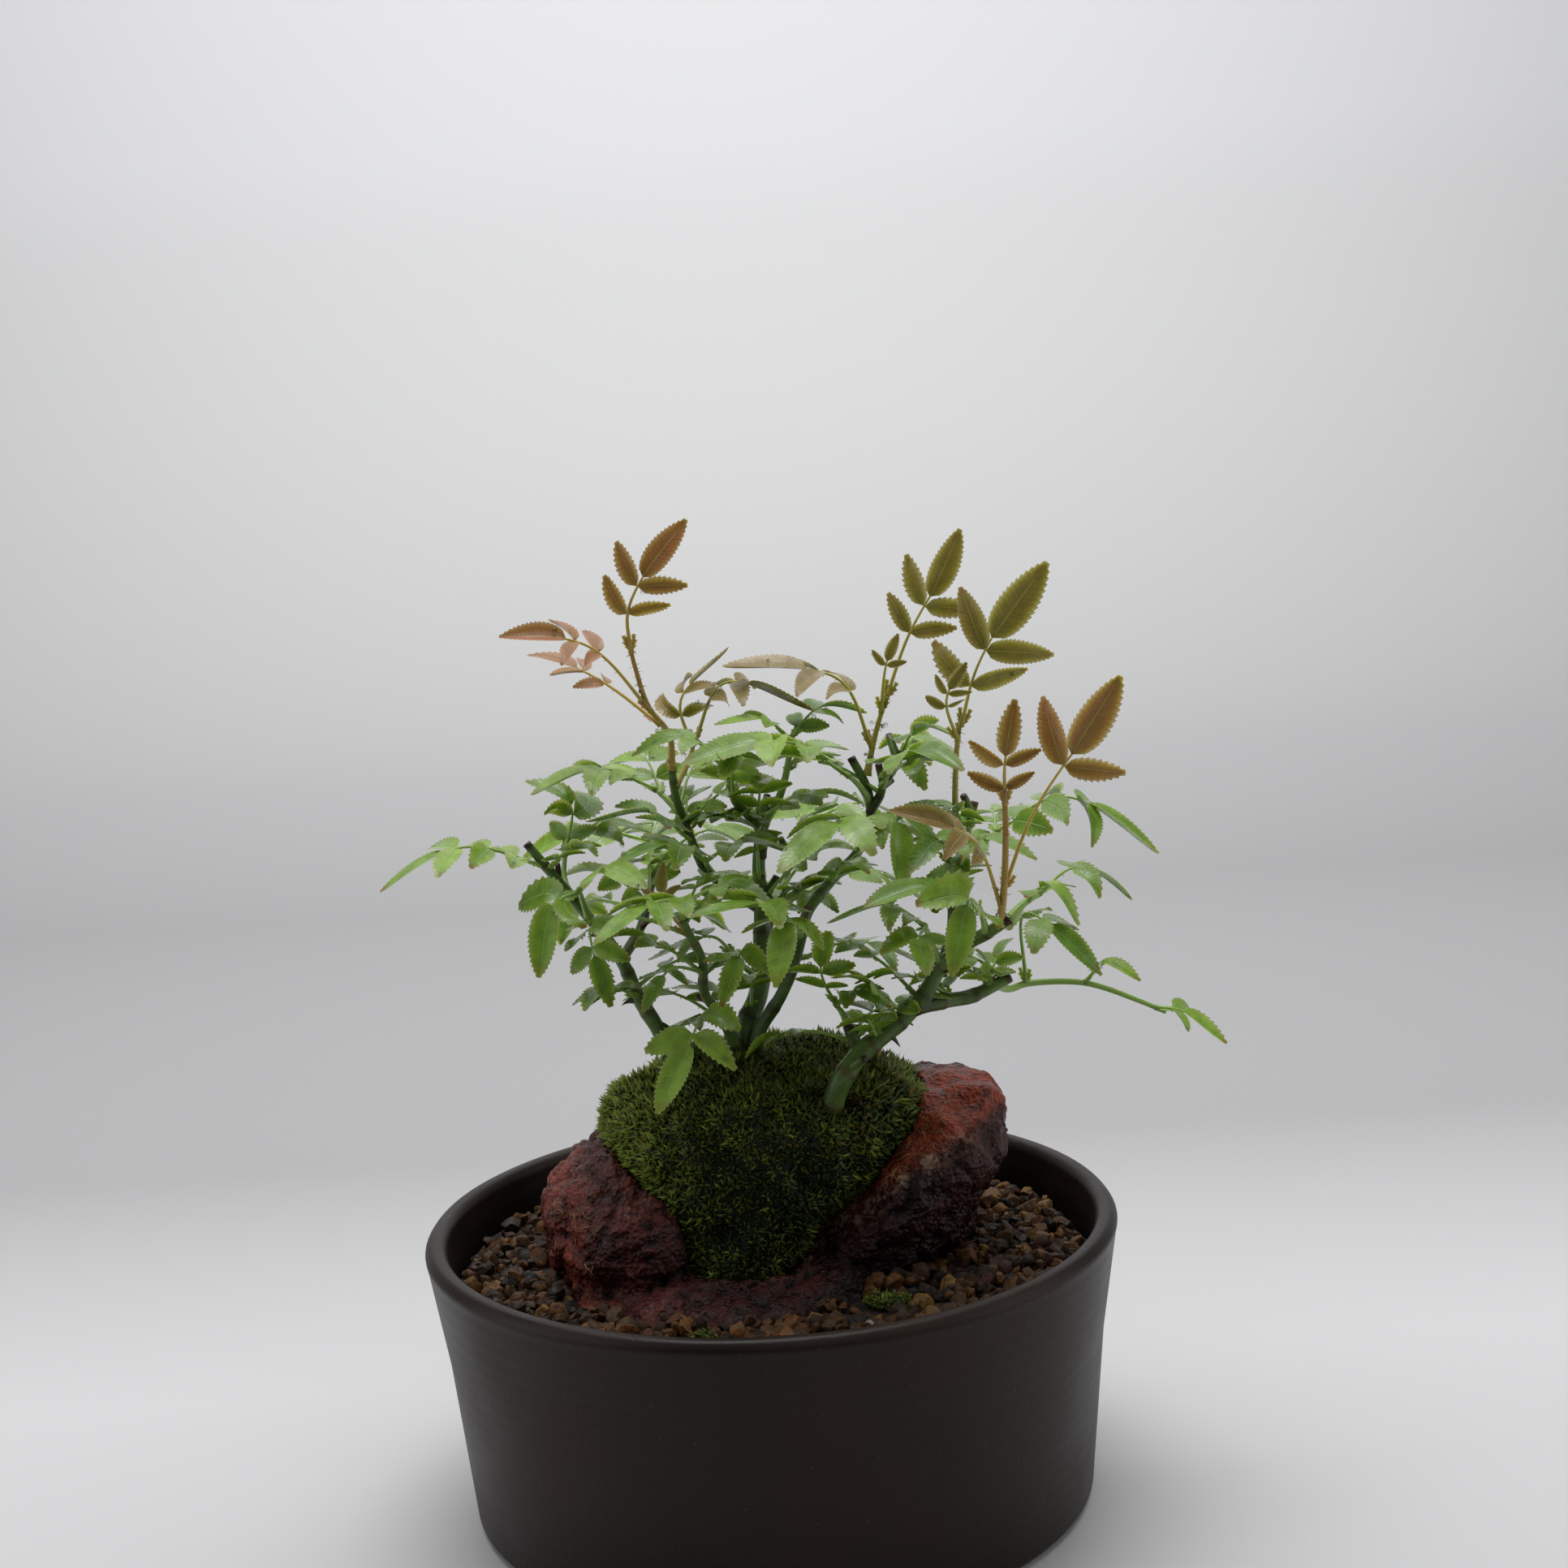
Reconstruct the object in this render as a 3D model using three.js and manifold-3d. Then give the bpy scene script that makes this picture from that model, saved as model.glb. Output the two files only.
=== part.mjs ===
// Miniature rose bonsai, planted over a piece of lava stone in a round stoneware pot.
// Millimetres, +Z up. The origin is the middle of the pot's flat foot. -Y is the viewing side, and +X is to
// its right.
import * as THREE from 'three';
import { mergeVertices } from 'three/addons/utils/BufferGeometryUtils.js';
import Module from 'manifold-3d';

const wasm = await Module();
wasm.setup();

// Pot: thrown stoneware with a soft flat rim, flaring a little below it
const POT_HEIGHT = 54;
const RIM_RADIUS = 65;
const RIM_WIDTH = 4.2;
const FOOT_RADIUS = 58.7;
const POT_WALL = 4.5;
const POT_FLOOR = 5;
const POT_SIDES = 36;
const DRAIN_HOLE_RADIUS = 5;
const DRAIN_HOLE_OFFSET = 24;
const SCREEN_SIDE = 18;
const SCREEN_THICKNESS = 0.8;

// Soil: grains of baked clay and lava, filled to a little below the rim
const SOIL_TOP = 44.5;
const GRAIN_SIZE = 7.5;
const GRAIN_HEIGHT = 0.9;
const STONE_BASE = 38;

// Room kept between pieces that touch
const GAP = 0.3;

// Plant
const BLADE_THICKNESS = 0.7;
const RACHIS_HALF_WIDTH = 0.36;
const LEAFLET_TEETH = 2;
const PETIOLE = 3;
const LAST_PAIR = 0.15;
const PAIR_STEP = 0.42;
const CANE_SIDES = 5;
const STEM_SIDES = 4;

// Where the plant is measured from: an eye in front of the pot, level with the top of the foliage
const EYE = new THREE.Vector3(0, -427, 200);

const material = (color, roughness) => new THREE.MeshStandardMaterial({ color, roughness, metalness: 0 });
const MATERIALS = {
  stoneware: material(0x34302f, 0.55),
  plastic: material(0x1d1d1d, 0.6),
  soil: material(0x6b4230, 0.95),
  lava: material(0x5a2620, 0.8),
  muck: material(0x2a1d15, 0.95),
  moss: material(0x33461a, 0.95),
  cane: material(0x31462a, 0.5),
  green: material(0x5d8f38, 0.45),
  bronze: material(0x7d7436, 0.5),
  red: material(0x9a5a3c, 0.5),
};

// Plant points are written as seen from the eye: across and up on the plane through the pot's middle,
// and how far behind that plane they really are
function seen([across, up, behind]) {
  const onPlane = new THREE.Vector3(across, 0, up);
  return EYE.clone().lerp(onPlane, 1 + behind / -EYE.y);
}

// A geometry's closed surface as a solid
function solid(geometry) {
  const bare = geometry.index ? geometry.toNonIndexed() : geometry.clone();
  bare.deleteAttribute('normal');
  bare.deleteAttribute('uv');
  const merged = mergeVertices(bare, 1e-4);
  const corners = merged.index.array;
  const kept = [];
  for (let i = 0; i < corners.length; i += 3) {
    const [a, b, c] = [corners[i], corners[i + 1], corners[i + 2]];
    if (a !== b && b !== c && c !== a) kept.push(a, b, c);
  }
  return new wasm.Manifold(new wasm.Mesh({
    numProp: 3,
    vertProperties: new Float32Array(merged.attributes.position.array),
    triVerts: new Uint32Array(kept),
  }));
}

function join(solids) {
  return solids.reduce((whole, next) => whole.add(next));
}

// The largest body of a solid, without the crumbs that a cut can leave
function largestBody(cut) {
  return cut.decompose().reduce((best, body) => (body.volume() > best.volume() ? body : best));
}

function mesh(name, body, finish) {
  const { vertProperties, triVerts, numProp } = body.getMesh();
  const positions = new Float32Array(triVerts.length * 3);
  triVerts.forEach((vertex, i) => {
    positions.set(vertProperties.subarray(vertex * numProp, vertex * numProp + 3), i * 3);
  });
  const geometry = new THREE.BufferGeometry();
  geometry.setAttribute('position', new THREE.BufferAttribute(positions, 3));
  geometry.computeVertexNormals();
  const made = new THREE.Mesh(geometry, finish);
  made.name = name;
  return made;
}

function mapVertices(geometry, move) {
  const position = geometry.attributes.position;
  const point = new THREE.Vector3();
  for (let i = 0; i < position.count; i += 1) {
    move(point.fromBufferAttribute(position, i));
    position.setXYZ(i, point.x, point.y, point.z);
  }
  return geometry;
}

// A lathe profile written as radius and height, turned about +Z
function turned(profile, sides) {
  const points = profile.map(([radius, height]) => new THREE.Vector2(radius, height));
  return new THREE.LatheGeometry(points, sides).rotateX(Math.PI / 2);
}

// The pot's inner wall from the soil's height down to its floor, or a line that keeps a gap from it
function innerWall(gap) {
  const innerTop = RIM_RADIUS - RIM_WIDTH;
  const innerFoot = FOOT_RADIUS - POT_WALL;
  return [
    [innerTop - 0.8 - gap, SOIL_TOP - 0.5],
    [innerFoot + 2 - gap, POT_FLOOR + 4],
    [innerFoot - 1.5 - gap, POT_FLOOR + gap],
  ];
}

// Pot
function makePot() {
  const wallTop = POT_HEIGHT - 3.2;
  const innerTop = RIM_RADIUS - RIM_WIDTH;
  const profile = [
    [0, 0], [FOOT_RADIUS - 1.5, 0], [FOOT_RADIUS, 1.5], [FOOT_RADIUS + 3, 32],
    [RIM_RADIUS - 0.4, wallTop], [RIM_RADIUS, POT_HEIGHT - 1.6], [RIM_RADIUS - 1.2, POT_HEIGHT],
    [innerTop + 1, POT_HEIGHT], [innerTop, POT_HEIGHT - 1.2],
    ...innerWall(0), [0, POT_FLOOR],
  ];
  const holes = [-1, 1].map((side) => {
    const hole = new THREE.CylinderGeometry(DRAIN_HOLE_RADIUS, DRAIN_HOLE_RADIUS, 4 * POT_FLOOR, 14);
    return solid(hole.rotateX(Math.PI / 2).translate(side * DRAIN_HOLE_OFFSET, 0, 0));
  });
  return solid(turned(profile, POT_SIDES)).subtract(join(holes));
}

// Screens that keep the soil in over the drain holes: squares of plastic mesh, cut from a roll
function makeScreen(side) {
  const pitch = 3;
  const sheet = new THREE.BoxGeometry(SCREEN_SIDE, SCREEN_SIDE, SCREEN_THICKNESS);
  const windows = [];
  for (let i = -1; i <= 1; i += 2) {
    for (let j = -1; j <= 1; j += 2) {
      windows.push(solid(new THREE.BoxGeometry(4, 4, 4).translate(i * pitch, j * pitch, 0)));
    }
  }
  const height = POT_FLOOR + SCREEN_THICKNESS / 2 + 0.1;
  return solid(sheet).subtract(join(windows)).translate([side * DRAIN_HOLE_OFFSET, 0, height]);
}

// Lumps: a ball whose every direction is carried to a point of the surface by a shape formula
function lump(shape, detail, grow = 0) {
  return solid(mapVertices(new THREE.IcosahedronGeometry(1, detail), (point) => {
    const out = point.clone();
    point.copy(shape(out)).addScaledVector(out, grow);
  }));
}

// Broken lava: large facets with pits sunk into them
function lavaRelief(out, phase) {
  const sideways = Math.cos(3.1 * out.x + phase) * Math.cos(2.7 * out.y - phase);
  const facets = sideways + Math.sin(3.7 * out.z + 2 * phase);
  const pits = Math.sin(13 * out.x + phase) * Math.sin(12 * out.y) * Math.sin(11 * out.z + phase);
  return 1.1 * facets - 2 * Math.max(0, pits);
}

// One lobe of the stone: half sizes along its own axes, leaned to the side
function lavaLobe({ centre, half, lean, phase }) {
  const tilt = new THREE.Matrix4().makeRotationY(THREE.MathUtils.degToRad(lean));
  return (out) => {
    const point = out.clone().multiply(new THREE.Vector3(...half));
    point.addScaledVector(out, lavaRelief(out, phase)).applyMatrix4(tilt);
    return point.add(new THREE.Vector3(...centre));
  };
}

const STONE_LOBES = [
  { centre: [-25.5, 8, 51], half: [18.5, 29, 20.5], lean: 18, phase: 0.6, detail: 3 },
  { centre: [24, 11, 54], half: [15, 29, 27], lean: 42, phase: 2.1, detail: 3 },
  { centre: [27, 14, 46], half: [14, 21, 12], lean: 0, phase: 3.3, detail: 1 },
  { centre: [-10, 0, 42], half: [33, 36, 10.5], lean: 0, phase: 4.4, detail: 2 },
];

// Moss: a cushion over the stone that runs down the valley in front of it to a point, with rounded tufts
const MOSS_DETAIL = 3;
const MOSS = { middle: 71, up: 13.5, down: 31, half: [31.5, 26], lean: [-10, -31], taper: 0.85 };
function mossShape(out) {
  const drop = Math.max(0, -out.z);
  const narrow = 1 - MOSS.taper * drop;
  const tufts = Math.sin(11 * out.x) * Math.sin(12 * out.y + 1) + Math.sin(10 * out.z + 4 * out.x);
  const point = new THREE.Vector3(
    MOSS.half[0] * out.x * narrow + MOSS.lean[0] * drop ** 1.2,
    9 + MOSS.half[1] * out.y * narrow + MOSS.lean[1] * drop,
    MOSS.middle + out.z * (out.z > 0 ? MOSS.up : MOSS.down),
  );
  return point.addScaledVector(out, 0.6 * tufts + 0.7 * Math.sin(4 * out.x + 3 * out.y));
}

// Ball of clay muck that the roots grow in, under the moss
const ROOT_BALL_DETAIL = 1;
const ROOT_BALL = { centre: [-1, 13, 61], half: [21, 17, 17] };
function rootBallShape(out) {
  const half = new THREE.Vector3(...ROOT_BALL.half);
  return out.clone().multiply(half).add(new THREE.Vector3(...ROOT_BALL.centre));
}

function stoneBlock(grow = 0) {
  return join(STONE_LOBES.map((lobe) => lump(lavaLobe(lobe), lobe.detail, grow)));
}

function below(height) {
  const depth = 100;
  return solid(new THREE.BoxGeometry(200, 200, depth).translate(0, 0, height - depth / 2));
}

// Soil: a disc whose top is raised into grains
function makeSoil(pocket) {
  const edge = RIM_RADIUS - RIM_WIDTH - 2.4;
  const top = [];
  for (let radius = edge; radius > 15; radius -= GRAIN_SIZE) top.push([radius, SOIL_TOP]);
  const profile = [[0, POT_FLOOR + GAP], ...innerWall(GAP).reverse(), ...top, [0, SOIL_TOP]];
  const grains = mapVertices(turned(profile, POT_SIDES), (point) => {
    if (point.z < SOIL_TOP - 1) return;
    const { x, y } = point;
    point.z += GRAIN_HEIGHT * Math.sin(2.3 * x + 1.7 * Math.sin(1.9 * y)) * Math.cos(2.1 * y + 0.7 * x);
  });
  const screens = [-1, 1].map((side) => solid(
    new THREE.BoxGeometry(SCREEN_SIDE + 2 * GAP, SCREEN_SIDE + 2 * GAP, SCREEN_THICKNESS + 1)
      .translate(side * DRAIN_HOLE_OFFSET, 0, POT_FLOOR + SCREEN_THICKNESS / 2 + 0.1),
  ));
  return solid(grains).subtract(join([pocket, ...screens]));
}

// A closed rod along a smooth curve, narrowing from its foot to its tip
function rod(points, footRadius, tipRadius, sides) {
  const steps = points.length - 1;
  const curve = new THREE.CatmullRomCurve3(points, false, 'centripetal');
  const frames = curve.computeFrenetFrames(steps, false);
  const round = new THREE.CylinderGeometry(1, 1, steps, sides, steps);
  return solid(mapVertices(round, (point) => {
    const step = Math.round(point.y + steps / 2);
    const radius = THREE.MathUtils.lerp(footRadius, tipRadius, step / steps);
    const across = frames.normals[step];
    const along = frames.tangents[step];
    const other = across.clone().cross(along);
    const { x, z } = point;
    point.copy(curve.getPointAt(step / steps));
    point.addScaledVector(across, x * radius).addScaledVector(other, z * radius);
  }));
}

// A prickle: a small cone that stands out of a cane
function prickle([across, up, behind], [dx, dy, dz], length) {
  const foot = seen([across, up, behind]);
  const out = new THREE.Vector3(dx, dy, dz).normalize();
  const cone = new THREE.ConeGeometry(0.55, length, 4).translate(0, length / 2, 0);
  cone.applyQuaternion(new THREE.Quaternion().setFromUnitVectors(new THREE.Vector3(0, 1, 0), out));
  return solid(cone.translate(foot.x, foot.y, foot.z));
}

// Woody canes, each as its points from the foot up, and its radius at the foot and at the cut end
const CANES = [
  { points: [[-1, 64, 7], [-14, 79, 4], [-19.5, 91.5, 3], [-22, 96, 3], [-25, 104, 3], [-30.5, 112.5, 4],
    [-37, 121.5, 5], [-41, 127, 5]], foot: 1.9, tip: 0.8 },
  { points: [[0, 62, 8], [-3, 80, 7], [-2.5, 90, 7], [0, 96, 8], [1, 103, 9], [1.5, 112, 10],
    [1.5, 121, 11], [3, 129, 11]], foot: 2.8, tip: 1 },
  { points: [[-3, 82, 6], [0.5, 90, 3], [4.5, 96, 1], [7.5, 103, 0], [10, 111, 2], [15, 117, 6],
    [20, 122, 9], [22.5, 128, 10], [22, 134, 9], [19.5, 139.5, 9]], foot: 1.3, tip: 0.8 },
  { points: [[-3, 82, 6], [-7, 92, 1], [-10, 97, -2], [-10, 103, -4], [-12.5, 109, -7], [-13.5, 112, -8]],
    foot: 1.2, tip: 0.7 },
  { points: [[1, 63, 6], [11, 71, -8], [15, 79, -11], [18.5, 83.5, -10], [22.5, 86.5, -9], [27, 90, -8],
    [31, 94, -8], [34, 99, -9], [38, 102.5, -12], [43, 105, -17], [47.5, 107.5, -22]], foot: 2.5, tip: 1 },
  { points: [[29, 92, -8], [35, 92.7, -5], [39.5, 93.2, -3], [44, 95, -2], [47, 96.5, -1]],
    foot: 1.6, tip: 1.1 },
  { points: [[18.5, 83.5, -10], [17, 87, -7], [16.5, 89, -6]], foot: 1.3, tip: 1 },
  { points: [[2, 122, 11], [2.5, 126.5, 8], [-0.5, 130.5, 4], [-2.3, 133, 2], [-2.3, 135.5, 1]],
    foot: 0.9, tip: 0.8 },
  { points: [[1.5, 112, 10], [-4, 116, 12], [-8.5, 120.5, 12], [-11, 127, 10], [-13, 134, 8],
    [-13.5, 140, 7]], foot: 1, tip: 0.7 },
  { points: [[22.5, 129, 10], [25, 133.5, 8], [24.5, 138, 7]], foot: 0.8, tip: 0.7 },
  { points: [[25, 134, 8], [27, 136.5, 7], [29, 140, 6]], foot: 0.7, tip: 0.7 },
  { points: [[34, 98, -9], [36.5, 105, -4], [37.5, 113, 0], [39.5, 122, 2], [42, 130, 3]],
    foot: 1.2, tip: 0.7 },
  { points: [[-25, 104, 3], [-21, 110, 12], [-19, 116, 20], [-18, 122, 27]], foot: 1, tip: 0.7 },
  { points: [[1, 103, 9], [3, 110, 18], [6, 117, 28], [8, 124, 34]], foot: 1.1, tip: 0.7 },
];
const PRICKLES = [
  { at: [-22.5, 96.5, 3], out: [-1, -0.3, 0.1] }, { at: [-19, 91, 3], out: [1, -0.3, 0.2] },
  { at: [-28, 109, 3.5], out: [-1, 0, 0.3] }, { at: [23.5, 87.5, -9], out: [0.8, -0.3, -0.6] },
  { at: [29.5, 92.5, -8], out: [-0.8, -0.4, 0.4] }, { at: [6.5, 101, 0], out: [1, -0.2, 0.1] },
  { at: [1, 103, 9], out: [-1, -0.4, 0.2] }, { at: [1.3, 115, 10], out: [1, -0.5, 0.1] },
  { at: [-1, 131, 3.5], out: [-1, -0.3, 0.3] }, { at: [37, 110, -1], out: [1, -0.3, 0.1] },
];

function makeCanes(grow = 0) {
  const rods = CANES.map(({ points, foot, tip }) => (
    rod(points.map(seen), foot + grow, tip + grow, CANE_SIDES)
  ));
  const spikes = PRICKLES.map(({ at, out }) => prickle(at, out, 3.2));
  return join(grow > 0 ? rods : [...rods, ...spikes]);
}

// A leaflet's outline from its foot on the rachis to its tip and back, with forward teeth if it is cut
function leafletOutline(foot, angle, length, width, isCut) {
  const margin = (side) => {
    const points = [];
    for (let tooth = 1; tooth <= LEAFLET_TEETH; tooth += 1) {
      const along = tooth / (LEAFLET_TEETH + 1);
      const half = (width / 2) * Math.sin(Math.PI * along);
      points.push([along * length, side * half]);
      if (isCut && tooth < LEAFLET_TEETH) points.push([(along + 0.07) * length, side * half * 0.8]);
    }
    return points;
  };
  const outline = [...margin(-1), [length, 0], ...margin(1).reverse()];
  const shift = new THREE.Matrix3().makeTranslation(...foot);
  const turn = new THREE.Matrix3().makeRotation(angle).premultiply(shift);
  return outline.map(([x, y]) => new THREE.Vector2(x, y).applyMatrix3(turn));
}

// A whole compound leaf, flat: a rachis with leaflets in pairs and one at its end
function leafOutline(length, blade, pairs) {
  const spread = THREE.MathUtils.degToRad(60);
  const half = RACHIS_HALF_WIDTH;
  const rachisEnd = length - blade;
  const stepsBack = Array.from({ length: pairs }, (_, i) => LAST_PAIR + PAIR_STEP * (pairs - 1 - i));
  const places = stepsBack.map((step) => rachisEnd - blade * step);
  const sideways = (side) => places.flatMap((place, i) => {
    const reach = blade * (i < pairs - 1 ? 0.62 : 0.7);
    const leaflet = leafletOutline([place, side * half * 0.5], side * spread, reach, reach * 0.46, false);
    const feet = [-0.4, 0.6].map((along) => new THREE.Vector2(place + along, side * half));
    return [feet[0], ...(side < 0 ? leaflet : leaflet.reverse()), feet[1]];
  });
  const start = [new THREE.Vector2(0, half), new THREE.Vector2(0, -half)];
  const terminal = leafletOutline([rachisEnd, 0], 0, blade, blade * 0.38, true);
  return new THREE.Shape([...start, ...sideways(-1), ...terminal, ...sideways(1).reverse()]);
}

// A leaf bent along its arch, with its upper face turned towards a given direction and its sides drooping
function leaf({ points, blade, pairs = 2, face = [0, -0.3, 1], droop = 0.02 }) {
  const arch = new THREE.CatmullRomCurve3(points.map(seen), false, 'centripetal');
  const length = arch.getLength();
  const longest = (length - PETIOLE) / (1 + LAST_PAIR + PAIR_STEP * (pairs - 1));
  const flat = new THREE.ExtrudeGeometry(leafOutline(length, Math.min(blade, longest), pairs), {
    depth: BLADE_THICKNESS, bevelEnabled: false, curveSegments: 1,
  });
  const upper = new THREE.Vector3(...face);
  return solid(mapVertices(flat, (point) => {
    const { x, y, z } = point;
    const at = THREE.MathUtils.clamp(x / length, 0, 1);
    const along = arch.getTangentAt(at);
    const normal = upper.clone().addScaledVector(along, -upper.dot(along)).normalize();
    const left = normal.clone().cross(along);
    point.copy(arch.getPointAt(at)).addScaledVector(left, y);
    point.addScaledVector(normal, z - BLADE_THICKNESS / 2 - droop * y * y);
  }));
}

// Leafy shoots: each with its stem from the foot up and its compound leaves
const FRONT = [0, -1, 0.25];
const SHOOTS = [
  { name: 'young_shoot_left', finish: 'red', radius: 0.65,
    stem: [[-13.5, 139, 7], [-13.5, 145.5, 7], [-17, 151, 6], [-19, 158.5, 5], [-20, 164, 4]],
    leaves: [
      { points: [[-19.5, 161, 4.5], [-19.5, 169, 3], [-9, 185, 2]], blade: 13, pairs: 2, face: FRONT },
      { points: [[-16.5, 150, 6], [-27, 162.5, 2], [-42.5, 166, -4]],
        blade: 12, pairs: 2, face: [0.2, -0.6, 1] },
      { points: [[-15, 147.5, 7], [-25, 156, 12], [-38, 163.5, 18]],
        blade: 11, pairs: 2, face: [0.4, -0.3, 1] },
    ] },
  { name: 'young_shoot_centre', finish: 'bronze', radius: 0.65,
    stem: [[22.3, 136, 9], [23.5, 141, 9], [25, 146, 8], [27.5, 152.5, 7]],
    leaves: [
      { points: [[26.5, 150, 7.2], [31.5, 162, 6], [43, 179, 4]], blade: 13.5, pairs: 2, face: FRONT },
      { points: [[25.5, 147.5, 7.8], [26.5, 155, 4], [28.5, 162, 3]], blade: 5.5, pairs: 1, face: FRONT },
      { points: [[23.5, 141, 9], [18, 154, 10], [-3, 157.5, 8]], blade: 16, pairs: 2 },
    ] },
  { name: 'young_shoot_right', finish: 'bronze', radius: 0.7,
    stem: [[39, 119, 1.5], [38.3, 126, 0], [38.5, 134, -1], [39.5, 143, -2], [40.5, 146.5, -2]],
    leaves: [
      { points: [[40, 144, -2], [43.5, 155, -3], [56, 174, -6]], blade: 17, pairs: 2, face: FRONT },
      { points: [[39.3, 141.5, -2], [37.5, 149, -5], [41, 156, -7]], blade: 6, pairs: 2, face: FRONT },
    ] },
  { name: 'young_shoot_front', finish: 'red', radius: 0.75,
    stem: [[45.5, 106.5, -20], [46.5, 112, -27], [47.3, 122, -31], [47.5, 132, -33]],
    leaves: [
      { points: [[47.5, 129, -32.5], [47.8, 137, -34], [50.5, 148, -36]],
        blade: 10.5, pairs: 2, face: FRONT },
      { points: [[46.5, 113, -27], [53.5, 128.5, -33], [71, 151, -38]], blade: 16, pairs: 1, face: FRONT },
      { points: [[46, 110, -25.5], [41, 123, -34], [27, 129, -40]],
        blade: 12, pairs: 2, face: [0, -0.5, 1] },
    ] },
  { name: 'spray_top_left', finish: 'bronze', radius: 0.6,
    stem: [[-13, 136, 7.6], [-10.5, 140, 10], [-9, 144, 12]],
    leaves: [
      { points: [[-9.5, 143, 11.5], [-11, 152, 14], [-1, 160.5, 18]], blade: 11, pairs: 2 },
      { points: [[-9.2, 143.5, 12], [-3, 154.5, 12], [13.5, 148.5, 10]], blade: 14, pairs: 2 },
    ] },
  { name: 'leaf_far_left', finish: 'green',
    leaves: [{ points: [[-38, 122.5, 5], [-52, 127, -1], [-69, 121, -3]], blade: 14, pairs: 3 }] },
  { name: 'spray_upper_left', finish: 'green', radius: 0.7,
    stem: [[-33, 116, 4.3], [-34.5, 120, 9], [-34, 125, 13]],
    leaves: [
      { points: [[-34.2, 124, 12.5], [-32.5, 134, 15], [-41, 138.5, 17]], blade: 11, pairs: 2 },
      { points: [[-34, 124.5, 13], [-27, 129.5, 17], [-17, 127.5, 22]], blade: 12, pairs: 1 },
    ] },
  { name: 'spray_left_hanging', finish: 'green', radius: 0.7,
    stem: [[-30.5, 112.5, 4], [-31.5, 116, -1], [-32, 118, -5]],
    leaves: [
      { points: [[-32, 117.5, -4.5], [-37, 115, -8], [-40, 101.5, -11]],
        blade: 14, pairs: 1, face: [-0.7, -1, 0.3] },
      { points: [[-32, 117.5, -4.5], [-27, 121.5, -12], [-19, 118.5, -21]], blade: 12, pairs: 1 },
    ] },
  { name: 'leaf_left_low', finish: 'green',
    leaves: [
      { points: [[-27, 107.5, 3], [-30.5, 110, -8], [-28, 95, -13]],
        blade: 10, pairs: 2, face: [-0.3, -1, 0.2] },
    ] },
  { name: 'spray_front_left', finish: 'green', radius: 0.7,
    stem: [[-13.3, 111.5, -7.5], [-12, 114, -12], [-11.5, 115.5, -15]],
    leaves: [
      { points: [[-11.7, 115, -14.5], [-20, 114, -22], [-30, 107, -29]], blade: 14, pairs: 2 },
      { points: [[-11.8, 114.7, -14], [-4, 117.5, -18], [4, 114.5, -22]], blade: 10, pairs: 1 },
    ] },
  { name: 'leaf_bud_left', finish: 'red',
    leaves: [
      { points: [[-12.3, 108, -6.5], [-16.5, 114.5, -10], [-16.5, 122, -11]],
        blade: 6, pairs: 1, face: FRONT },
    ] },
  { name: 'spray_top_back_left', finish: 'green', radius: 0.7,
    stem: [[-12.3, 131, 8.8], [-15, 134, 11], [-17, 136, 13]],
    leaves: [
      { points: [[-16.5, 135.5, 12.5], [-26, 140, 11], [-40, 137, 7]], blade: 13, pairs: 2 },
      { points: [[-15.5, 134.5, 11.5], [-18, 141.5, 20], [-21, 142.5, 32]], blade: 12, pairs: 2 },
    ] },
  { name: 'leaf_middle_left', finish: 'green',
    leaves: [{ points: [[-10.5, 125.5, 10.5], [-18, 131.5, 2], [-29, 129, -5]], blade: 13, pairs: 2 }] },
  { name: 'spray_inner_left', finish: 'green', radius: 0.7,
    stem: [[-6.5, 118.5, 12], [-8, 121, 5], [-8.5, 122.5, 1]],
    leaves: [
      { points: [[-8.5, 122, 1.5], [-14, 125.5, -5], [-26, 123, -11]], blade: 13, pairs: 2 },
      { points: [[-8.3, 121.8, 2], [-1, 125, -6], [9, 121, -13]], blade: 13, pairs: 1 },
    ] },
  { name: 'spray_crown_left', finish: 'green', radius: 0.7,
    stem: [[-2.3, 134, 1.5], [-3.5, 138.5, 0], [-3.5, 140.5, -1]],
    leaves: [
      { points: [[-3.5, 140, -1], [-11, 145, -3], [-21, 143, -4]], blade: 12, pairs: 2 },
      { points: [[-3.4, 138.5, 0], [-2, 141, -9], [-4, 137, -18]], blade: 11, pairs: 1 },
    ] },
  { name: 'spray_crown', finish: 'green', radius: 0.9,
    stem: [[2.8, 128.3, 11], [6, 133, 9], [8, 139.5, 8], [8.5, 144, 8]],
    leaves: [
      { points: [[8.5, 143.5, 8], [4, 147.5, 4], [-5, 147, 0]], blade: 10, pairs: 1 },
      { points: [[8.5, 143.5, 8], [14, 149, 12], [23, 148.5, 16]], blade: 11, pairs: 2 },
      { points: [[7.5, 137.5, 8.3], [11, 142, 20], [12, 142, 34]], blade: 13, pairs: 2 },
    ] },
  { name: 'spray_long_centre', finish: 'green', radius: 0.7,
    stem: [[22.4, 131.5, 9.7], [20.5, 134.5, 4], [18.5, 136.5, 0]],
    leaves: [
      { points: [[19, 136, 1], [8, 143, -9], [-11, 141.5, -17]], blade: 15, pairs: 3 },
    ] },
  { name: 'spray_crown_right', finish: 'green', radius: 0.7,
    stem: [[25.2, 135, 8], [28, 137.5, 12], [29, 140, 15]],
    leaves: [
      { points: [[28.8, 139.5, 14.5], [32, 144.5, 10], [39, 143, 5]], blade: 10, pairs: 1 },
      { points: [[28.5, 139, 14], [31, 142.5, 24], [33, 139, 36]], blade: 13, pairs: 1 },
    ] },
  { name: 'leaf_bright_right', finish: 'green',
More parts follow.
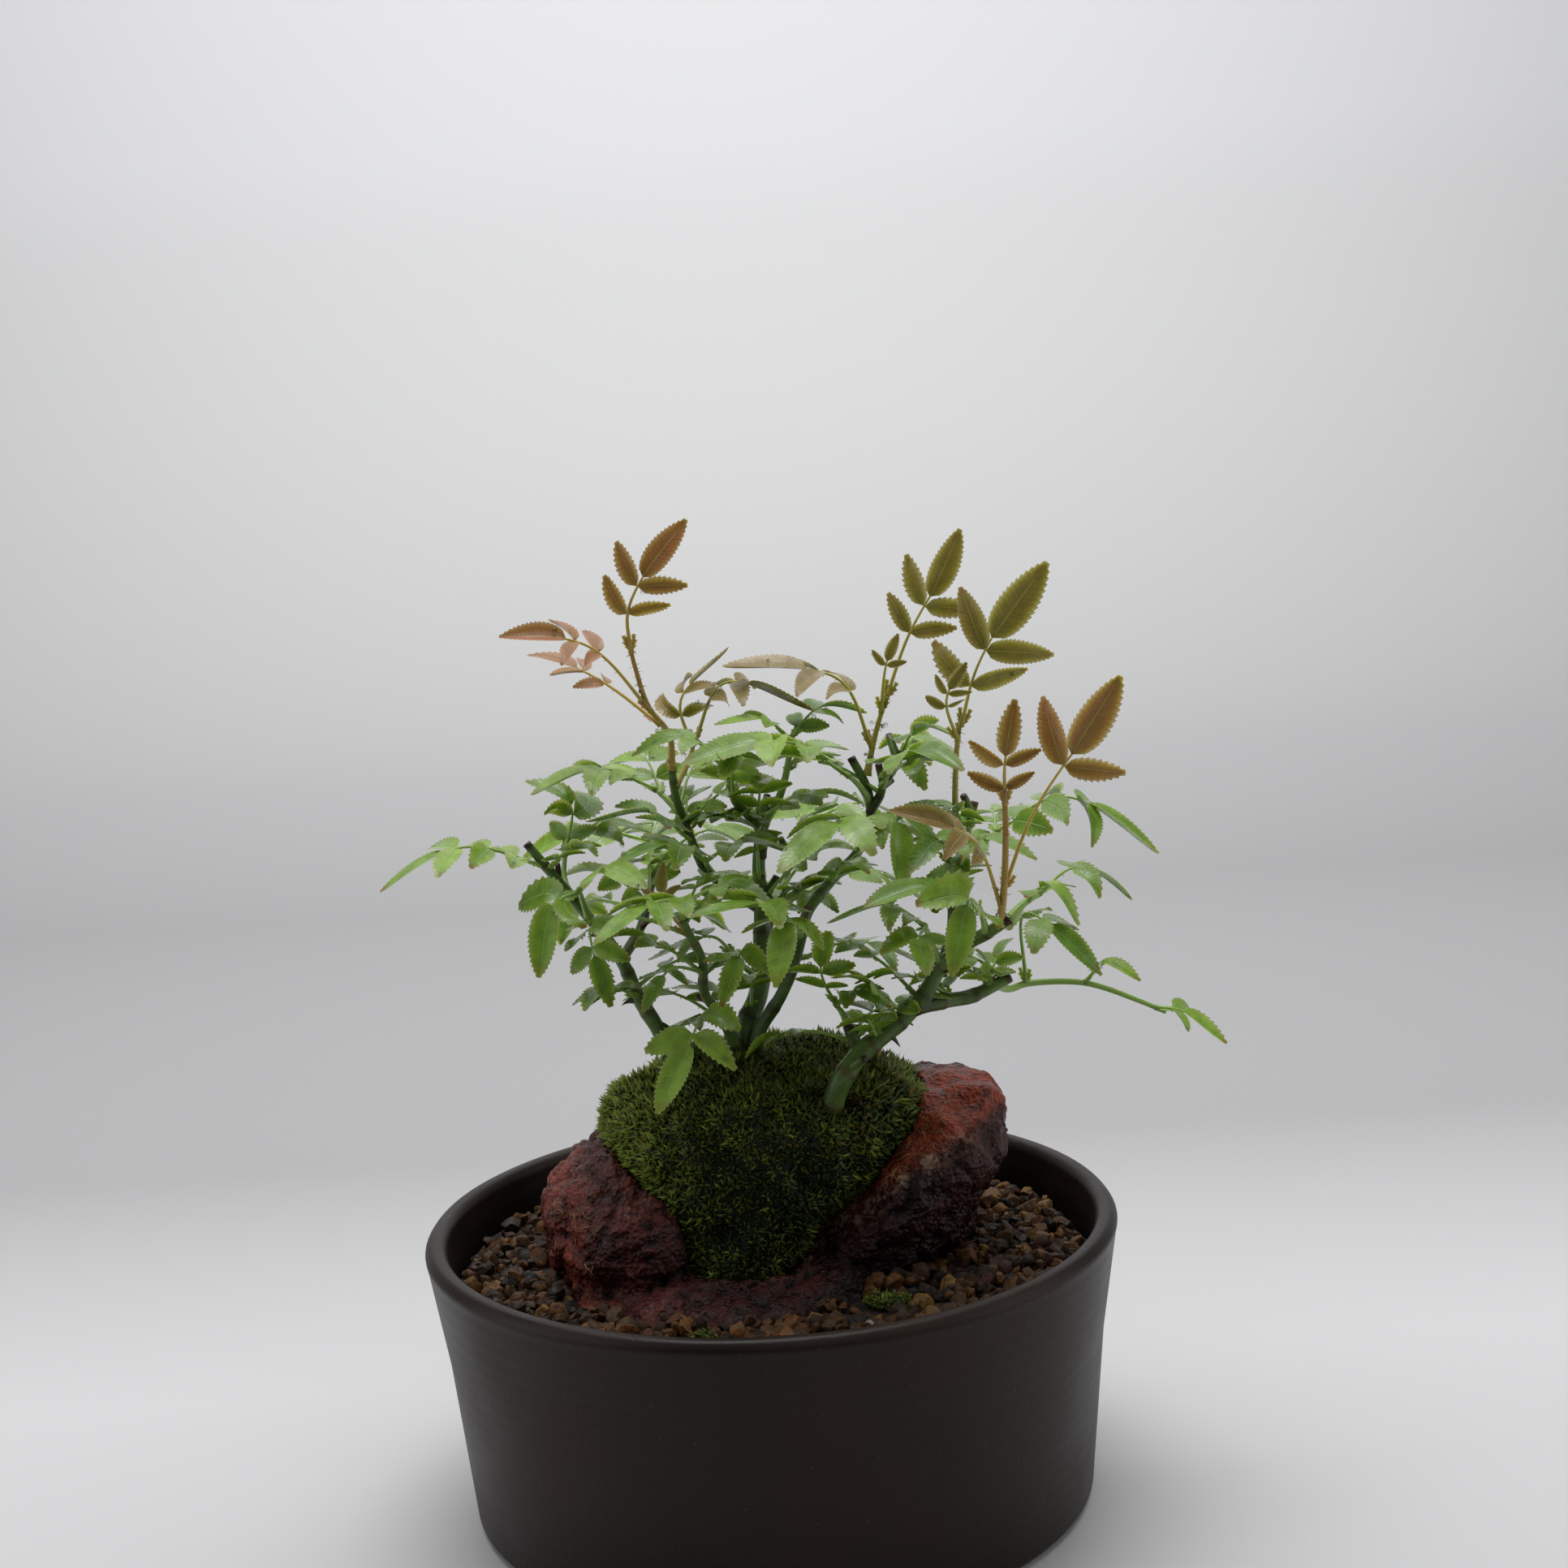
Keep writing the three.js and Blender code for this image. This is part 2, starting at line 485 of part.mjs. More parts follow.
    leaves: [{ points: [[24.8, 133.3, 8.2], [30, 140, -6], [41, 137.5, -16]], blade: 13, pairs: 2 }] },
  { name: 'spray_front_centre', finish: 'green', radius: 0.7,
    stem: [[21.5, 125, 9.5], [22, 127, 1], [23, 127, -6]],
    leaves: [
      { points: [[22.8, 127, -5.5], [17, 128, -17], [4, 120.5, -28]], blade: 16, pairs: 2 },
      { points: [[22.8, 127, -5], [27, 128.5, -13], [26.5, 114, -20]],
        blade: 13, pairs: 1, face: [0.2, -1, 0.5] },
    ] },
  { name: 'spray_centre_low', finish: 'green', radius: 0.7,
    stem: [[8.5, 106.5, 0.5], [6.5, 109.5, -6], [5, 111.5, -12]],
    leaves: [
      { points: [[5.3, 111, -11], [1, 113.5, -22], [-11, 110.5, -33]], blade: 15, pairs: 2 },
      { points: [[5.3, 110.7, -10.5], [6, 109.5, -24], [2.5, 98.5, -34]],
        blade: 13, pairs: 1, face: [0, -1, 0.5] },
    ] },
  { name: 'spray_trunk_dark', finish: 'green', radius: 0.7,
    stem: [[0.5, 99, 8.5], [-3.5, 102.5, 1], [-4.5, 104.5, -4]],
    leaves: [
      { points: [[-4.3, 104, -3.5], [-3, 104, -12], [-6, 94, -18]],
        blade: 10, pairs: 1, face: [0, -1, 0.3] },
      { points: [[-4, 103.5, -2], [-8, 107.5, 3], [-20, 104, 8]], blade: 11, pairs: 1 },
    ] },
  { name: 'leaf_foot_left', finish: 'green',
    leaves: [
      { points: [[-7.3, 92.7, 0.8], [-11, 92, -16], [-19, 73.5, -27]],
        blade: 14, pairs: 2, face: [-0.4, -1, 0.6] },
    ] },
  { name: 'leaf_foot_thin', finish: 'green',
    leaves: [{ points: [[-10, 101, -3.3], [-16.5, 101.5, -14], [-21, 94, -20]], blade: 8, pairs: 1 }] },
  { name: 'leaf_lower_centre', finish: 'green',
    leaves: [{ points: [[7.2, 102, 0.1], [19, 105, 9], [34, 98.5, 13]], blade: 14, pairs: 2 }] },
  { name: 'spray_foot_centre', finish: 'green', radius: 0.7,
    stem: [[16.5, 88.5, -6], [15.5, 91.5, -4], [14, 93.5, -3]],
    leaves: [
      { points: [[14.5, 93, -3.2], [17.5, 95.5, -11], [25, 92, -18]], blade: 9, pairs: 1 },
      { points: [[14.5, 93, -3.2], [12, 99, -9], [12.5, 108, -15]], blade: 10, pairs: 2 },
    ] },
  { name: 'spray_right_inner', finish: 'green', radius: 0.7,
    stem: [[34.3, 99.5, -9.2], [32.5, 104.5, -12], [31.5, 107.5, -14]],
    leaves: [
      { points: [[31.8, 107, -13.7], [25, 111.5, -16], [13.5, 108.5, -18]], blade: 12, pairs: 2 },
      { points: [[31.7, 107, -13.7], [30.5, 104.5, -22], [33, 99, -32]],
        blade: 11, pairs: 1, face: [0, -0.7, 1] },
    ] },
  { name: 'spray_right_front', finish: 'green', radius: 0.7,
    stem: [[43, 105, -17], [42.5, 108, -22], [42, 110, -26]],
    leaves: [
      { points: [[42, 109.5, -25.5], [40, 111.5, -33], [37, 98, -41]],
        blade: 12.5, pairs: 1, face: [0, -1, 0.3] },
      { points: [[42, 109.5, -25], [34, 114, -27], [20, 112, -31]], blade: 15, pairs: 2 },
    ] },
  { name: 'spray_right_middle', finish: 'green', radius: 0.7,
    stem: [[37.7, 114, 0.2], [37, 117, -5], [36.5, 119, -8]],
    leaves: [
      { points: [[36.5, 118.5, -7.5], [35, 123, -13], [29.5, 119, -22]], blade: 11, pairs: 1 },
      { points: [[36.5, 118.5, -7.5], [43, 123, -12], [53, 119, -17]], blade: 12, pairs: 2 },
    ] },
  { name: 'spray_right_upper', finish: 'green', radius: 0.7,
    stem: [[39.2, 120.5, 1.8], [43, 122, 7], [46, 124.5, 10]],
    leaves: [
      { points: [[45.5, 124, 9.5], [58, 130, 10], [76, 119, 8]], blade: 16, pairs: 3 },
      { points: [[45.5, 124, 9.5], [45, 128, 19], [40, 127, 31]], blade: 12, pairs: 2 },
    ] },
  { name: 'spray_right_tip', finish: 'green', radius: 0.8,
    stem: [[47.2, 107.3, -21.7], [50.5, 110.5, -19], [53.5, 112, -16]],
    leaves: [
      { points: [[53, 111.8, -16.5], [60, 116.5, -13], [71.5, 111, -11]], blade: 12, pairs: 1 },
      { points: [[51, 110.7, -18.5], [54.5, 113.5, -23], [60.5, 106.5, -28]], blade: 11, pairs: 1 },
    ] },
  { name: 'shoot_low_right', finish: 'green', radius: 0.75,
    stem: [[44.3, 95.2, -2], [47, 94.2, 2], [50, 95, 4], [61, 94.5, 5], [71, 90.5, 5], [76, 88, 5]],
    leaves: [
      { points: [[74, 89, 5], [79, 88, 4], [87, 81, 3]], blade: 10.5, pairs: 1 },
      { points: [[61, 94.5, 5], [65, 98, 1], [71.5, 95, -3]], blade: 8, pairs: 1 },
      { points: [[50, 95, 4], [50.5, 108.5, -2], [64.5, 96.5, -10]], blade: 13, pairs: 2 },
    ] },
  { name: 'spray_back_left', finish: 'green', radius: 0.7,
    stem: [[-18.3, 120.5, 25.5], [-18, 124.5, 29], [-18, 126.5, 30]],
    leaves: [
      { points: [[-18, 126, 30], [-30, 129, 32], [-43, 124, 34]], blade: 14, pairs: 2 },
      { points: [[-18, 126, 30], [-17, 129.5, 39], [-17, 124, 50]], blade: 13, pairs: 2 },
      { points: [[-18.3, 122, 26.5], [-8, 127.5, 30], [4, 126, 35]], blade: 12, pairs: 1 },
    ] },
  { name: 'spray_back_low', finish: 'green', radius: 0.7,
    stem: [[-19.5, 114.5, 18], [-22, 114, 24], [-23, 114.5, 27]],
    leaves: [
      { points: [[-22.8, 114.3, 26.5], [-31, 115.5, 35], [-37, 108, 45]], blade: 13, pairs: 2 },
      { points: [[-22.5, 114.2, 25.5], [-14, 115, 33], [-6, 109, 42]], blade: 12, pairs: 1 },
    ] },
  { name: 'spray_back_right', finish: 'green', radius: 0.7,
    stem: [[7.7, 122.5, 32.5], [10, 126, 36], [11, 128.5, 38]],
    leaves: [
      { points: [[10.8, 128, 37.5], [21, 131, 42], [33, 125.5, 46]], blade: 14, pairs: 2 },
      { points: [[10.5, 127.5, 37.3], [8, 132, 46], [3, 128, 57]], blade: 13, pairs: 2 },
    ] },
  { name: 'spray_back_centre', finish: 'green', radius: 0.7,
    stem: [[4.5, 113.5, 23], [9, 114.5, 27], [12, 115.5, 29]],
    leaves: [
      { points: [[11.5, 115.3, 28.5], [21, 118.5, 31], [33, 111, 36]], blade: 13, pairs: 2 },
    ] },
];

function makeShoot({ stem, radius, leaves }, keepClear) {
  const stalks = stem ? [rod(stem.map(seen), radius * 1.15, radius, STEM_SIDES)] : [];
  const whole = join([...stalks, ...leaves.map(leaf)]);
  return largestBody(whole.subtract(keepClear));
}

// Tufts of moss that have spread onto the soil in front of the stone
const SOIL_TUFTS = [
  { name: 'moss_tuft_right', centre: [20, -27, SOIL_TOP + 0.3], half: [5, 3.2, 2.2] },
  { name: 'moss_tuft_left', centre: [-13, -39.5, SOIL_TOP + 0.3], half: [3.2, 2, 2] },
];

function makeTuft({ centre, half }, keepClear) {
  const shape = (out) => out.clone().multiply(new THREE.Vector3(...half)).add(new THREE.Vector3(...centre));
  return largestBody(lump(shape, 1).subtract(keepClear));
}

const group = new THREE.Group();
const canesClear = makeCanes(GAP);
const stoneFoot = below(STONE_BASE);
const mossClear = lump(mossShape, MOSS_DETAIL, GAP + 0.1);
const rootBallClear = lump(rootBallShape, ROOT_BALL_DETAIL, GAP);
const pocket = stoneBlock(GAP + 0.1).add(mossClear).subtract(below(STONE_BASE - GAP));
const soil = largestBody(makeSoil(pocket));
const stone = stoneBlock().subtract(join([mossClear, rootBallClear, stoneFoot]));
const rootBall = lump(rootBallShape, ROOT_BALL_DETAIL).subtract(join([canesClear, stoneFoot]));
const moss = lump(mossShape, MOSS_DETAIL).subtract(join([rootBallClear, canesClear, stoneFoot]));

group.add(mesh('pot', makePot(), MATERIALS.stoneware));
group.add(mesh('drain_screen_left', makeScreen(-1), MATERIALS.plastic));
group.add(mesh('drain_screen_right', makeScreen(1), MATERIALS.plastic));
group.add(mesh('soil', soil, MATERIALS.soil));
group.add(mesh('lava_stone', largestBody(stone), MATERIALS.lava));
group.add(mesh('root_ball', largestBody(rootBall), MATERIALS.muck));
group.add(mesh('moss_cushion', largestBody(moss), MATERIALS.moss));
SOIL_TUFTS.forEach((tuft) => {
  group.add(mesh(tuft.name, makeTuft(tuft, soil.translate([0, 0, GAP])), MATERIALS.moss));
});
group.add(mesh('canes', makeCanes(), MATERIALS.cane));
SHOOTS.forEach((shoot) => {
  group.add(mesh(shoot.name, makeShoot(shoot, canesClear), MATERIALS[shoot.finish]));
});

export default group;
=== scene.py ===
"""Looks of a miniature rose bonsai that grows over lava stone in a round stoneware pot.

Everything is built in millimetres, as in the part's source, and scaled to metres when it is finished.
"""

import math
from collections import namedtuple
from functools import lru_cache

import bmesh
import bpy
import numpy as np
from bpy.props import FloatProperty, FloatVectorProperty, IntProperty, PointerProperty
from mathutils import Matrix, Vector, noise
from mathutils.bvhtree import BVHTree


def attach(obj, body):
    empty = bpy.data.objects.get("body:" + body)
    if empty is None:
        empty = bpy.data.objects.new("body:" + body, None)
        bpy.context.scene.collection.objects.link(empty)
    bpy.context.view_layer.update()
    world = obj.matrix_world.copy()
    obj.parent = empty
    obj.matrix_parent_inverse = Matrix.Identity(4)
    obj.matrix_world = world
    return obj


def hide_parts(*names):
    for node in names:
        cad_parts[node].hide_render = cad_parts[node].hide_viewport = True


bl_info = {
    "name": "Miniature Rose Bonsai",
    "version": (1, 0, 0),
    "blender": (4, 5, 0),
    "location": "View3D > Sidebar > Bonsai",
    "description": "Dresses the bonsai's construction with bark, leaves, moss, stone, soil and stoneware",
    "category": "Object",
}

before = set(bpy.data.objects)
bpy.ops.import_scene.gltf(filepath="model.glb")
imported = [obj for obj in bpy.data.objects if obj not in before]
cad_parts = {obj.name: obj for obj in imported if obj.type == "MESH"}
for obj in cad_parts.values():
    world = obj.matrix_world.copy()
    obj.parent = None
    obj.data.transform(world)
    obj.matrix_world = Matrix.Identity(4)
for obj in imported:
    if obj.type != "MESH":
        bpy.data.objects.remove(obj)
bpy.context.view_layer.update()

MM = 0.001
# Where the plant's points are seen from, in front of the pot and a little above the foliage
EYE = Vector((0, -427, 200))

# Construction sizes that the looks repeat
POT_HEIGHT = 54
RIM_RADIUS = 65
RIM_WIDTH = 4.2
FOOT_RADIUS = 58.7
POT_FLOOR = 5
DRAIN_HOLE_RADIUS = 5
DRAIN_HOLE_OFFSET = 24
SOIL_TOP = 44.5
PETIOLE = 3
LAST_PAIR = 0.15
PAIR_STEP = 0.42
LEAFLET_SPREAD = math.radians(60)
LEAF_DROOP = 0.02
# Brings a leaflet's greatest half width to 1
LEAFLET_BULGE = 2.319
# Leaflets longer than this are made finer
LARGE_LEAFLET = 11

UP = (0, -0.15, 1)
FRONT = (0, -1, 0.25)

Cane = namedtuple("Cane", "points foot tip")
Prickle = namedtuple("Prickle", "at out")
Leaf = namedtuple("Leaf", "points blade pairs face", defaults=(2, UP))
Shoot = namedtuple("Shoot", "name finish radius stem leaves")

CANES = [
    Cane([(-1, 64, 7), (-14, 79, 4), (-19.5, 91.5, 3), (-22, 96, 3), (-25, 104, 3), (-30.5, 112.5, 4),
        (-37, 121.5, 5), (-41, 127, 5)], 1.9, 0.8),
    Cane([(0, 62, 8), (-3, 80, 7), (-2.5, 90, 7), (0, 96, 8), (1, 103, 9), (1.5, 112, 10), (1.5, 121, 11),
        (3, 129, 11)], 2.8, 1),
    Cane([(-3, 82, 6), (0.5, 90, 3), (4.5, 96, 1), (7.5, 103, 0), (10, 111, 2), (15, 117, 6), (20, 122, 9),
        (22.5, 128, 10), (22, 134, 9), (19.5, 139.5, 9)], 1.3, 0.8),
    Cane([(-3, 82, 6), (-7, 92, 1), (-10, 97, -2), (-10, 103, -4), (-12.5, 109, -7),
        (-13.5, 112, -8)], 1.2, 0.7),
    Cane([(1, 63, 6), (11, 71, -8), (15, 79, -11), (18.5, 83.5, -10), (22.5, 86.5, -9), (27, 90, -8),
        (31, 94, -8), (34, 99, -9), (38, 102.5, -12), (43, 105, -17), (47.5, 107.5, -22)], 2.5, 1),
    Cane([(29, 92, -8), (35, 92.7, -5), (39.5, 93.2, -3), (44, 95, -2), (47, 96.5, -1)], 1.6, 1.1),
    Cane([(18.5, 83.5, -10), (17, 87, -7), (16.5, 89, -6)], 1.3, 1),
    Cane([(2, 122, 11), (2.5, 126.5, 8), (-0.5, 130.5, 4), (-2.3, 133, 2), (-2.3, 135.5, 1)], 0.9, 0.8),
    Cane([(1.5, 112, 10), (-4, 116, 12), (-8.5, 120.5, 12), (-11, 127, 10), (-13, 134, 8),
        (-13.5, 140, 7)], 1, 0.7),
    Cane([(22.5, 129, 10), (25, 133.5, 8), (24.5, 138, 7)], 0.8, 0.7),
    Cane([(25, 134, 8), (27, 136.5, 7), (29, 140, 6)], 0.7, 0.7),
    Cane([(34, 98, -9), (36.5, 105, -4), (37.5, 113, 0), (39.5, 122, 2), (42, 130, 3)], 1.2, 0.7),
    Cane([(-25, 104, 3), (-21, 110, 12), (-19, 116, 20), (-18, 122, 27)], 1, 0.7),
    Cane([(1, 103, 9), (3, 110, 18), (6, 117, 28), (8, 124, 34)], 1.1, 0.7),
]
PRICKLES = [
    Prickle((-22.5, 96.5, 3), (-1, -0.3, 0.1)), Prickle((-19, 91, 3), (1, -0.3, 0.2)),
    Prickle((-28, 109, 3.5), (-1, 0, 0.3)), Prickle((23.5, 87.5, -9), (0.8, -0.3, -0.6)),
    Prickle((29.5, 92.5, -8), (-0.8, -0.4, 0.4)), Prickle((6.5, 101, 0), (1, -0.2, 0.1)),
    Prickle((1, 103, 9), (-1, -0.4, 0.2)), Prickle((1.3, 115, 10), (1, -0.5, 0.1)),
    Prickle((-1, 131, 3.5), (-1, -0.3, 0.3)), Prickle((37, 110, -1), (1, -0.3, 0.1)),
]
SHOOTS = [
    Shoot("young_shoot_left", "red", 0.65, [(-13.5, 139, 7), (-13.5, 145.5, 7), (-17, 151, 6),
        (-19, 158.5, 5), (-20, 164, 4)], [
        Leaf([(-19.5, 161, 4.5), (-19.5, 169, 3), (-9, 185, 2)], 13, 2, FRONT),
        Leaf([(-16.5, 150, 6), (-27, 162.5, 2), (-42.5, 166, -4)], 12, 2, (0.2, -0.6, 1)),
        Leaf([(-15, 147.5, 7), (-25, 156, 12), (-38, 163.5, 18)], 11, 2, (0.4, -0.3, 1)),
    ]),
    Shoot("young_shoot_centre", "bronze", 0.65, [(22.3, 136, 9), (23.5, 141, 9), (25, 146, 8),
        (27.5, 152.5, 7)], [
        Leaf([(26.5, 150, 7.2), (31.5, 162, 6), (43, 179, 4)], 13.5, 2, FRONT),
        Leaf([(25.5, 147.5, 7.8), (26.5, 155, 4), (28.5, 162, 3)], 5.5, 1, FRONT),
        Leaf([(23.5, 141, 9), (18, 154, 10), (-3, 157.5, 8)], 16),
    ]),
    Shoot("young_shoot_right", "bronze", 0.7, [(39, 119, 1.5), (38.3, 126, 0), (38.5, 134, -1),
        (39.5, 143, -2), (40.5, 146.5, -2)], [
        Leaf([(40, 144, -2), (43.5, 155, -3), (56, 174, -6)], 17, 2, FRONT),
        Leaf([(39.3, 141.5, -2), (37.5, 149, -5), (41, 156, -7)], 6, 2, FRONT),
    ]),
    Shoot("young_shoot_front", "red", 0.75, [(45.5, 106.5, -20), (46.5, 112, -27), (47.3, 122, -31),
        (47.5, 132, -33)], [
        Leaf([(47.5, 129, -32.5), (47.8, 137, -34), (50.5, 148, -36)], 10.5, 2, FRONT),
        Leaf([(46.5, 113, -27), (53.5, 128.5, -33), (71, 151, -38)], 16, 1, FRONT),
        Leaf([(46, 110, -25.5), (41, 123, -34), (27, 129, -40)], 12, 2, (0, -0.5, 1)),
    ]),
    Shoot("spray_top_left", "bronze", 0.6, [(-13, 136, 7.6), (-10.5, 140, 10), (-9, 144, 12)], [
        Leaf([(-9.5, 143, 11.5), (-11, 152, 14), (-1, 160.5, 18)], 11),
        Leaf([(-9.2, 143.5, 12), (-3, 154.5, 12), (13.5, 148.5, 10)], 14),
    ]),
    Shoot("leaf_far_left", "green", 0, [], [
        Leaf([(-38, 122.5, 5), (-52, 127, -1), (-69, 121, -3)], 14, 3),
    ]),
    Shoot("spray_upper_left", "green", 0.7, [(-33, 116, 4.3), (-34.5, 120, 9), (-34, 125, 13)], [
        Leaf([(-34.2, 124, 12.5), (-32.5, 134, 15), (-41, 138.5, 17)], 11),
        Leaf([(-34, 124.5, 13), (-27, 129.5, 17), (-17, 127.5, 22)], 12, 1),
    ]),
    Shoot("spray_left_hanging", "green", 0.7, [(-30.5, 112.5, 4), (-31.5, 116, -1), (-32, 118, -5)], [
        Leaf([(-32, 117.5, -4.5), (-37, 115, -8), (-40, 101.5, -11)], 14, 1, (-0.7, -1, 0.3)),
        Leaf([(-32, 117.5, -4.5), (-27, 121.5, -12), (-19, 118.5, -21)], 12, 1),
    ]),
    Shoot("leaf_left_low", "green", 0, [], [
        Leaf([(-27, 107.5, 3), (-30.5, 110, -8), (-28, 95, -13)], 10, 2, (-0.3, -1, 0.2)),
    ]),
    Shoot("spray_front_left", "green", 0.7, [(-13.3, 111.5, -7.5), (-12, 114, -12), (-11.5, 115.5, -15)], [
        Leaf([(-11.7, 115, -14.5), (-20, 114, -22), (-30, 107, -29)], 14),
        Leaf([(-11.8, 114.7, -14), (-4, 117.5, -18), (4, 114.5, -22)], 10, 1),
    ]),
    Shoot("leaf_bud_left", "red", 0, [], [
        Leaf([(-12.3, 108, -6.5), (-16.5, 114.5, -10), (-16.5, 122, -11)], 6, 1, FRONT),
    ]),
    Shoot("spray_top_back_left", "green", 0.7, [(-12.3, 131, 8.8), (-15, 134, 11), (-17, 136, 13)], [
        Leaf([(-16.5, 135.5, 12.5), (-26, 140, 11), (-40, 137, 7)], 13),
        Leaf([(-15.5, 134.5, 11.5), (-18, 141.5, 20), (-21, 142.5, 32)], 12),
    ]),
    Shoot("leaf_middle_left", "green", 0, [], [
        Leaf([(-10.5, 125.5, 10.5), (-18, 131.5, 2), (-29, 129, -5)], 13),
    ]),
    Shoot("spray_inner_left", "green", 0.7, [(-6.5, 118.5, 12), (-8, 121, 5), (-8.5, 122.5, 1)], [
        Leaf([(-8.5, 122, 1.5), (-14, 125.5, -5), (-26, 123, -11)], 13),
        Leaf([(-8.3, 121.8, 2), (-1, 125, -6), (9, 121, -13)], 13, 1),
    ]),
    Shoot("spray_crown_left", "green", 0.7, [(-2.3, 134, 1.5), (-3.5, 138.5, 0), (-3.5, 140.5, -1)], [
        Leaf([(-3.5, 140, -1), (-11, 145, -3), (-21, 143, -4)], 12),
        Leaf([(-3.4, 138.5, 0), (-2, 141, -9), (-4, 137, -18)], 11, 1),
    ]),
    Shoot("spray_crown", "green", 0.9, [(2.8, 128.3, 11), (6, 133, 9), (8, 139.5, 8), (8.5, 144, 8)], [
        Leaf([(8.5, 143.5, 8), (4, 147.5, 4), (-5, 147, 0)], 10, 1),
        Leaf([(8.5, 143.5, 8), (14, 149, 12), (23, 148.5, 16)], 11),
        Leaf([(7.5, 137.5, 8.3), (11, 142, 20), (12, 142, 34)], 13),
    ]),
    Shoot("spray_long_centre", "green", 0.7, [(22.4, 131.5, 9.7), (20.5, 134.5, 4), (18.5, 136.5, 0)], [
        Leaf([(19, 136, 1), (8, 143, -9), (-11, 141.5, -17)], 15, 3),
    ]),
    Shoot("spray_crown_right", "green", 0.7, [(25.2, 135, 8), (28, 137.5, 12), (29, 140, 15)], [
        Leaf([(28.8, 139.5, 14.5), (32, 144.5, 10), (39, 143, 5)], 10, 1),
        Leaf([(28.5, 139, 14), (31, 142.5, 24), (33, 139, 36)], 13, 1),
    ]),
    Shoot("leaf_bright_right", "green", 0, [], [
        Leaf([(24.8, 133.3, 8.2), (30, 140, -6), (41, 137.5, -16)], 13),
    ]),
    Shoot("spray_front_centre", "green", 0.7, [(21.5, 125, 9.5), (22, 127, 1), (23, 127, -6)], [
        Leaf([(22.8, 127, -5.5), (17, 128, -17), (4, 120.5, -28)], 16),
        Leaf([(22.8, 127, -5), (27, 128.5, -13), (26.5, 114, -20)], 13, 1, (0.2, -1, 0.5)),
    ]),
    Shoot("spray_centre_low", "green", 0.7, [(8.5, 106.5, 0.5), (6.5, 109.5, -6), (5, 111.5, -12)], [
        Leaf([(5.3, 111, -11), (1, 113.5, -22), (-11, 110.5, -33)], 15),
        Leaf([(5.3, 110.7, -10.5), (6, 109.5, -24), (2.5, 98.5, -34)], 13, 1, (0, -1, 0.5)),
    ]),
    Shoot("spray_trunk_dark", "green", 0.7, [(0.5, 99, 8.5), (-3.5, 102.5, 1), (-4.5, 104.5, -4)], [
        Leaf([(-4.3, 104, -3.5), (-3, 104, -12), (-6, 94, -18)], 10, 1, (0, -1, 0.3)),
        Leaf([(-4, 103.5, -2), (-8, 107.5, 3), (-20, 104, 8)], 11, 1),
    ]),
    Shoot("leaf_foot_left", "green", 0, [], [
        Leaf([(-7.3, 92.7, 0.8), (-11, 92, -16), (-19, 73.5, -27)], 14, 2, (-0.4, -1, 0.6)),
    ]),
    Shoot("leaf_foot_thin", "green", 0, [], [
        Leaf([(-10, 101, -3.3), (-16.5, 101.5, -14), (-21, 94, -20)], 8, 1),
    ]),
    Shoot("leaf_lower_centre", "green", 0, [], [
        Leaf([(7.2, 102, 0.1), (19, 105, 9), (34, 98.5, 13)], 14),
    ]),
    Shoot("spray_foot_centre", "green", 0.7, [(16.5, 88.5, -6), (15.5, 91.5, -4), (14, 93.5, -3)], [
        Leaf([(14.5, 93, -3.2), (17.5, 95.5, -11), (25, 92, -18)], 9, 1),
        Leaf([(14.5, 93, -3.2), (12, 99, -9), (12.5, 108, -15)], 10),
    ]),
    Shoot("spray_right_inner", "green", 0.7, [(34.3, 99.5, -9.2), (32.5, 104.5, -12), (31.5, 107.5, -14)], [
        Leaf([(31.8, 107, -13.7), (25, 111.5, -16), (13.5, 108.5, -18)], 12),
        Leaf([(31.7, 107, -13.7), (30.5, 104.5, -22), (33, 99, -32)], 11, 1, (0, -0.7, 1)),
    ]),
    Shoot("spray_right_front", "green", 0.7, [(43, 105, -17), (42.5, 108, -22), (42, 110, -26)], [
        Leaf([(42, 109.5, -25.5), (40, 111.5, -33), (37, 98, -41)], 12.5, 1, (0, -1, 0.3)),
        Leaf([(42, 109.5, -25), (34, 114, -27), (20, 112, -31)], 15),
    ]),
    Shoot("spray_right_middle", "green", 0.7, [(37.7, 114, 0.2), (37, 117, -5), (36.5, 119, -8)], [
        Leaf([(36.5, 118.5, -7.5), (35, 123, -13), (29.5, 119, -22)], 11, 1),
        Leaf([(36.5, 118.5, -7.5), (43, 123, -12), (53, 119, -17)], 12),
    ]),
    Shoot("spray_right_upper", "green", 0.7, [(39.2, 120.5, 1.8), (43, 122, 7), (46, 124.5, 10)], [
        Leaf([(45.5, 124, 9.5), (58, 130, 10), (76, 119, 8)], 16, 3),
        Leaf([(45.5, 124, 9.5), (45, 128, 19), (40, 127, 31)], 12),
    ]),
    Shoot("spray_right_tip", "green", 0.8, [(47.2, 107.3, -21.7), (50.5, 110.5, -19), (53.5, 112, -16)], [
        Leaf([(53, 111.8, -16.5), (60, 116.5, -13), (71.5, 111, -11)], 12, 1),
        Leaf([(51, 110.7, -18.5), (54.5, 113.5, -23), (60.5, 106.5, -28)], 11, 1),
    ]),
    Shoot("shoot_low_right", "green", 0.75, [(44.3, 95.2, -2), (47, 94.2, 2), (50, 95, 4), (61, 94.5, 5),
        (71, 90.5, 5), (76, 88, 5)], [
        Leaf([(74, 89, 5), (79, 88, 4), (87, 81, 3)], 10.5, 1),
        Leaf([(61, 94.5, 5), (65, 98, 1), (71.5, 95, -3)], 8, 1),
        Leaf([(50, 95, 4), (50.5, 108.5, -2), (64.5, 96.5, -10)], 13),
    ]),
    Shoot("spray_back_left", "green", 0.7, [(-18.3, 120.5, 25.5), (-18, 124.5, 29), (-18, 126.5, 30)], [
